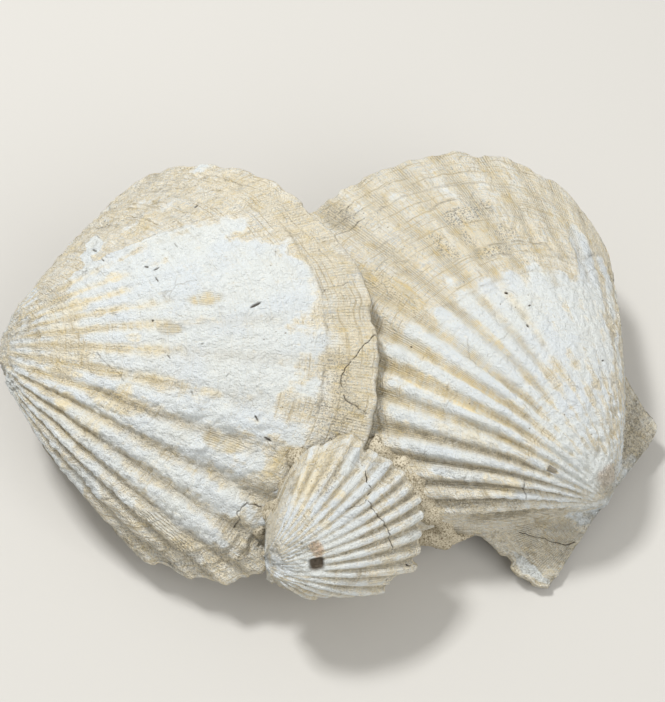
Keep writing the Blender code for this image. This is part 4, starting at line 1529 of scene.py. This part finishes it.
@dataclass
class SandGrains:
    """Loose grains that stand out of the rock where it lies open."""

    name: str
    finish: GrainFinish
    per_square_metre: float = 90000.0
    smallest: float = 0.2
    largest: float = 0.5
    reach: float = 60.0  # how far a face has to see
    foot: float = 1.2  # faces lower than this lie on the ground and get no grains
    sway: float = 0.7  # how far the four outer lines of sight lean
    least_open: float = 0.3
    seed: int = 5

    def openness(self, rock: bpy.types.Object, valves: Sequence[bpy.types.Object]) -> np.ndarray:
        """Tell which faces of the rock see out past the valves.

        Args:
            rock: the rock.
            valves: the pieces that may hide it.

        Returns:
            One share from 0 to 1 for each face.
        """
        view = bpy.context.evaluated_depsgraph_get()
        trees = [BVHTree.FromObject(valve, view) for valve in valves]
        steps = ((0, 0), (1, 0), (-1, 0), (0, 1), (0, -1))
        tilts = [Vector((self.sway * x, self.sway * y, 0)) for x, y in steps]
        values = np.zeros(len(rock.data.polygons))
        for face in rock.data.polygons:
            if face.center.z < self.foot * MM:
                continue
            start = face.center + face.normal * 0.2 * MM
            for tilt in tilts:
                aim = (face.normal + tilt).normalized()
                if not any(tree.ray_cast(start, aim, self.reach * MM)[0] for tree in trees):
                    values[face.index] += 1 / len(tilts)
        return values

    def build(self, rock: bpy.types.Object, valves: Sequence[bpy.types.Object]) -> bpy.types.Object:
        """Strew the grains and hand them to the frame.

        Args:
            rock: the rock that they lie on.
            valves: the pieces that may hide it.

        Returns:
            The grains as one piece.
        """
        mesh = rock.data.copy()
        layer = mesh.attributes.new("open", "FLOAT", "FACE")
        layer.data.foreach_set("value", np.where(self.openness(rock, valves) > self.least_open, 1.0, 0.0))
        thing = add_thing(self.name, mesh)
        run_tree(thing, build_scatter(self.name + "_scatter"), {
            "Grains per square metre": self.per_square_metre,
            "Smallest radius": self.smallest * MM,
            "Largest radius": self.largest * MM,
            "Seed": self.seed,
            "Finish": self.finish.make(),
        })
        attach(thing, "root")
        LOG.info("%s: %d faces", thing.name, len(thing.data.polygons))
        return thing


ROCK_KNOBS = (
    Lump((17.0, -48.0, 45.5), (6.0, 7.0, 6.0)), Lump((23.0, -51.5, 44.0), (6.0, 5.5, 5.0)),
    Lump((28.0, -55.0, 42.0), (5.5, 5.0, 5.0)), Lump((31.0, -59.5, 36.0), (4.5, 5.5, 6.0)),
    Lump((35.0, -63.0, 30.0), (4.5, 4.5, 6.5)), Lump((40.0, -65.0, 22.0), (4.0, 4.0, 5.0)),
    Lump((-11.5, -54.5, 54.5), (4.5, 4.0, 4.5)), Lump((-16.5, -61.5, 47.5), (4.0, 4.5, 5.0)),
    Lump((-21.0, -68.0, 41.0), (4.0, 4.5, 5.0)), Lump((-25.0, -71.5, 35.5), (3.5, 4.0, 4.5)),
)


@dataclass(frozen=True)
class PaperFinish(Finish):
    """Pale matt paper for the floor: plain and without gloss."""

    colour: str = "#c6c4bf"
    roughness: float = 0.9

    def surface(self, put: Put) -> Any:
        """Colour the whole floor alike."""
        return put(Node.SURFACE, linear(self.colour), self.roughness)


@dataclass(frozen=True)
class Lamp:
    """A square light that shines on the cluster; metres and watts."""

    name: str
    place: tuple[float, float, float]
    size: float
    power: float


@dataclass
class Studio:
    """Pale floor, soft lights and the camera at the photograph's angle."""

    look: tuple[float, float, float] = (0.0, 0.0, 38.0)
    distance: float = 560.0
    elevation: float = 58.0
    mm_per_pixel: float = 0.375
    picture_height: int = 702
    sensor: float = 36.0
    furthest: float = 60.0  # metres that the camera sees
    floor_size: float = 30.0  # metres from the middle to each side
    floor_finish: PaperFinish = PaperFinish("matt_pale_paper")
    sky_colour: str = "#e8e6e2"
    sky_strength: float = 0.63
    aim: tuple[float, float, float] = (0.0, 0.0, 0.04)
    lamps: tuple[Lamp, ...] = (
        Lamp("overhead", (-0.42, 0.36, 1.2), 0.22, 12.8),
        Lamp("fill", (0.8, -0.85, 1.1), 1.2, 11.6),
    )

    def build(self) -> None:
        """Set up the floor, lights, world and camera."""
        self.build_floor()
        self.build_lights()
        self.build_camera()

    def build_floor(self) -> None:
        """Lay a plain pale floor."""
        body = bmesh.new()
        bmesh.ops.create_grid(body, x_segments=1, y_segments=1, size=self.floor_size)
        mesh = bpy.data.meshes.new("floor")
        body.to_mesh(mesh)
        body.free()
        floor = add_thing("floor", mesh)
        mesh.materials.append(self.floor_finish.make())

    def build_lights(self) -> None:
        """Hang a small light behind on the left and a large soft one in front on the right."""
        for spec in self.lamps:
            lamp = bpy.data.lights.new(spec.name, "AREA")
            lamp.energy = spec.power
            lamp.shape = "SQUARE"
            lamp.size = spec.size
            holder = add_thing(spec.name, lamp)
            holder.location = spec.place
            aim = Vector(self.aim) - Vector(spec.place)
            holder.rotation_euler = aim.to_track_quat("-Z", "Y").to_euler()
        world = bpy.data.worlds.new("studio")
        world.use_nodes = True
        sky = world.node_tree.nodes["Background"]
        sky.inputs["Color"].default_value = linear(self.sky_colour)
        sky.inputs["Strength"].default_value = self.sky_strength
        bpy.context.scene.world = world
        bpy.context.scene.view_settings.view_transform = "Standard"

    def build_camera(self) -> None:
        """Place the camera so that the cluster fills the frame as in the photograph."""
        lens = bpy.data.cameras.new("camera")
        lens.sensor_width = self.sensor
        lens.lens = self.sensor * self.distance / (self.mm_per_pixel * self.picture_height)
        lens.clip_end = self.furthest
        holder = add_thing("camera", lens)
        rise = math.radians(self.elevation)
        look = (Vector(self.look) + Vector(CLUSTER_SHIFT)) * MM
        away = Vector((0, -math.cos(rise), math.sin(rise))) * self.distance * MM
        holder.location = look + away
        holder.rotation_euler = (-away).to_track_quat("-Z", "Y").to_euler()
        bpy.context.scene.camera = holder


def main() -> None:
    """Build the cluster and the studio round it."""
    logging.basicConfig(level=logging.INFO, format="%(name)s: %(message)s")
    left = Valve(
        "left_valve", "left_valve_shell", LEFT_FORM, ShellFinish("worn_calcite_left"),
        SculptSizes(ribs=1.55, wrinkles=0.22, crust=0.54, crust_pitch=2.3, crack=0.6, seed=1),
        LEFT_MARKS,
        wear=((-80, 0.15), (-35, 0.34), (-5, 0.4), (8, 0.52), (14, 0.75), (22, 0.9), (48, 0.9),
              (60, 0.4)),
        rise=((-80, 0.5), (0, 0.45), (12, 0.35), (25, 0.2), (80, 0.2)), seed=1).build()
    right = Valve(
        "right_valve", "right_valve_shell", RIGHT_FORM, ShellFinish("worn_calcite_right"),
        SculptSizes(ribs=1.95, wrinkles=0.22, crust=0.52, crust_pitch=2.4, crack=0.7, seed=2),
        RIGHT_MARKS,
        wear=((-60, 0.7), (-45, 0.95), (-20, 1.0), (-8, 0.75), (2, 0.4), (20, 0.25), (60, 0.2)),
        rise=((-60, 0.12), (-25, 0.15), (-8, 0.3), (5, 0.5), (60, 0.5)), seed=2).build()
    small = Valve(
        "small_valve", "small_valve_shell", SMALL_FORM, ShellFinish("worn_calcite_small"),
        SculptSizes(ribs=1.3, wrinkles=0.18, crust=0.34, crack=0.5, seed=3),
        SMALL_MARKS,
        wear=((-60, 0.35), (-25, 0.5), (-12, 0.75), (5, 1.0), (120, 1.1)),
        rise=((-60, 0.75), (0, 0.7), (120, 0.6)), columns=384, rows=150, seed=3).build()
    rock = SandyRock("sandy_rock", RockFinish("sandy_matrix"), ROCK_KNOBS).build()
    SandGrains("sand_grains", GrainFinish("quartz_sand")).build(rock, (left, right, small))
    Studio().build()


if __name__ == "__main__":
    main()
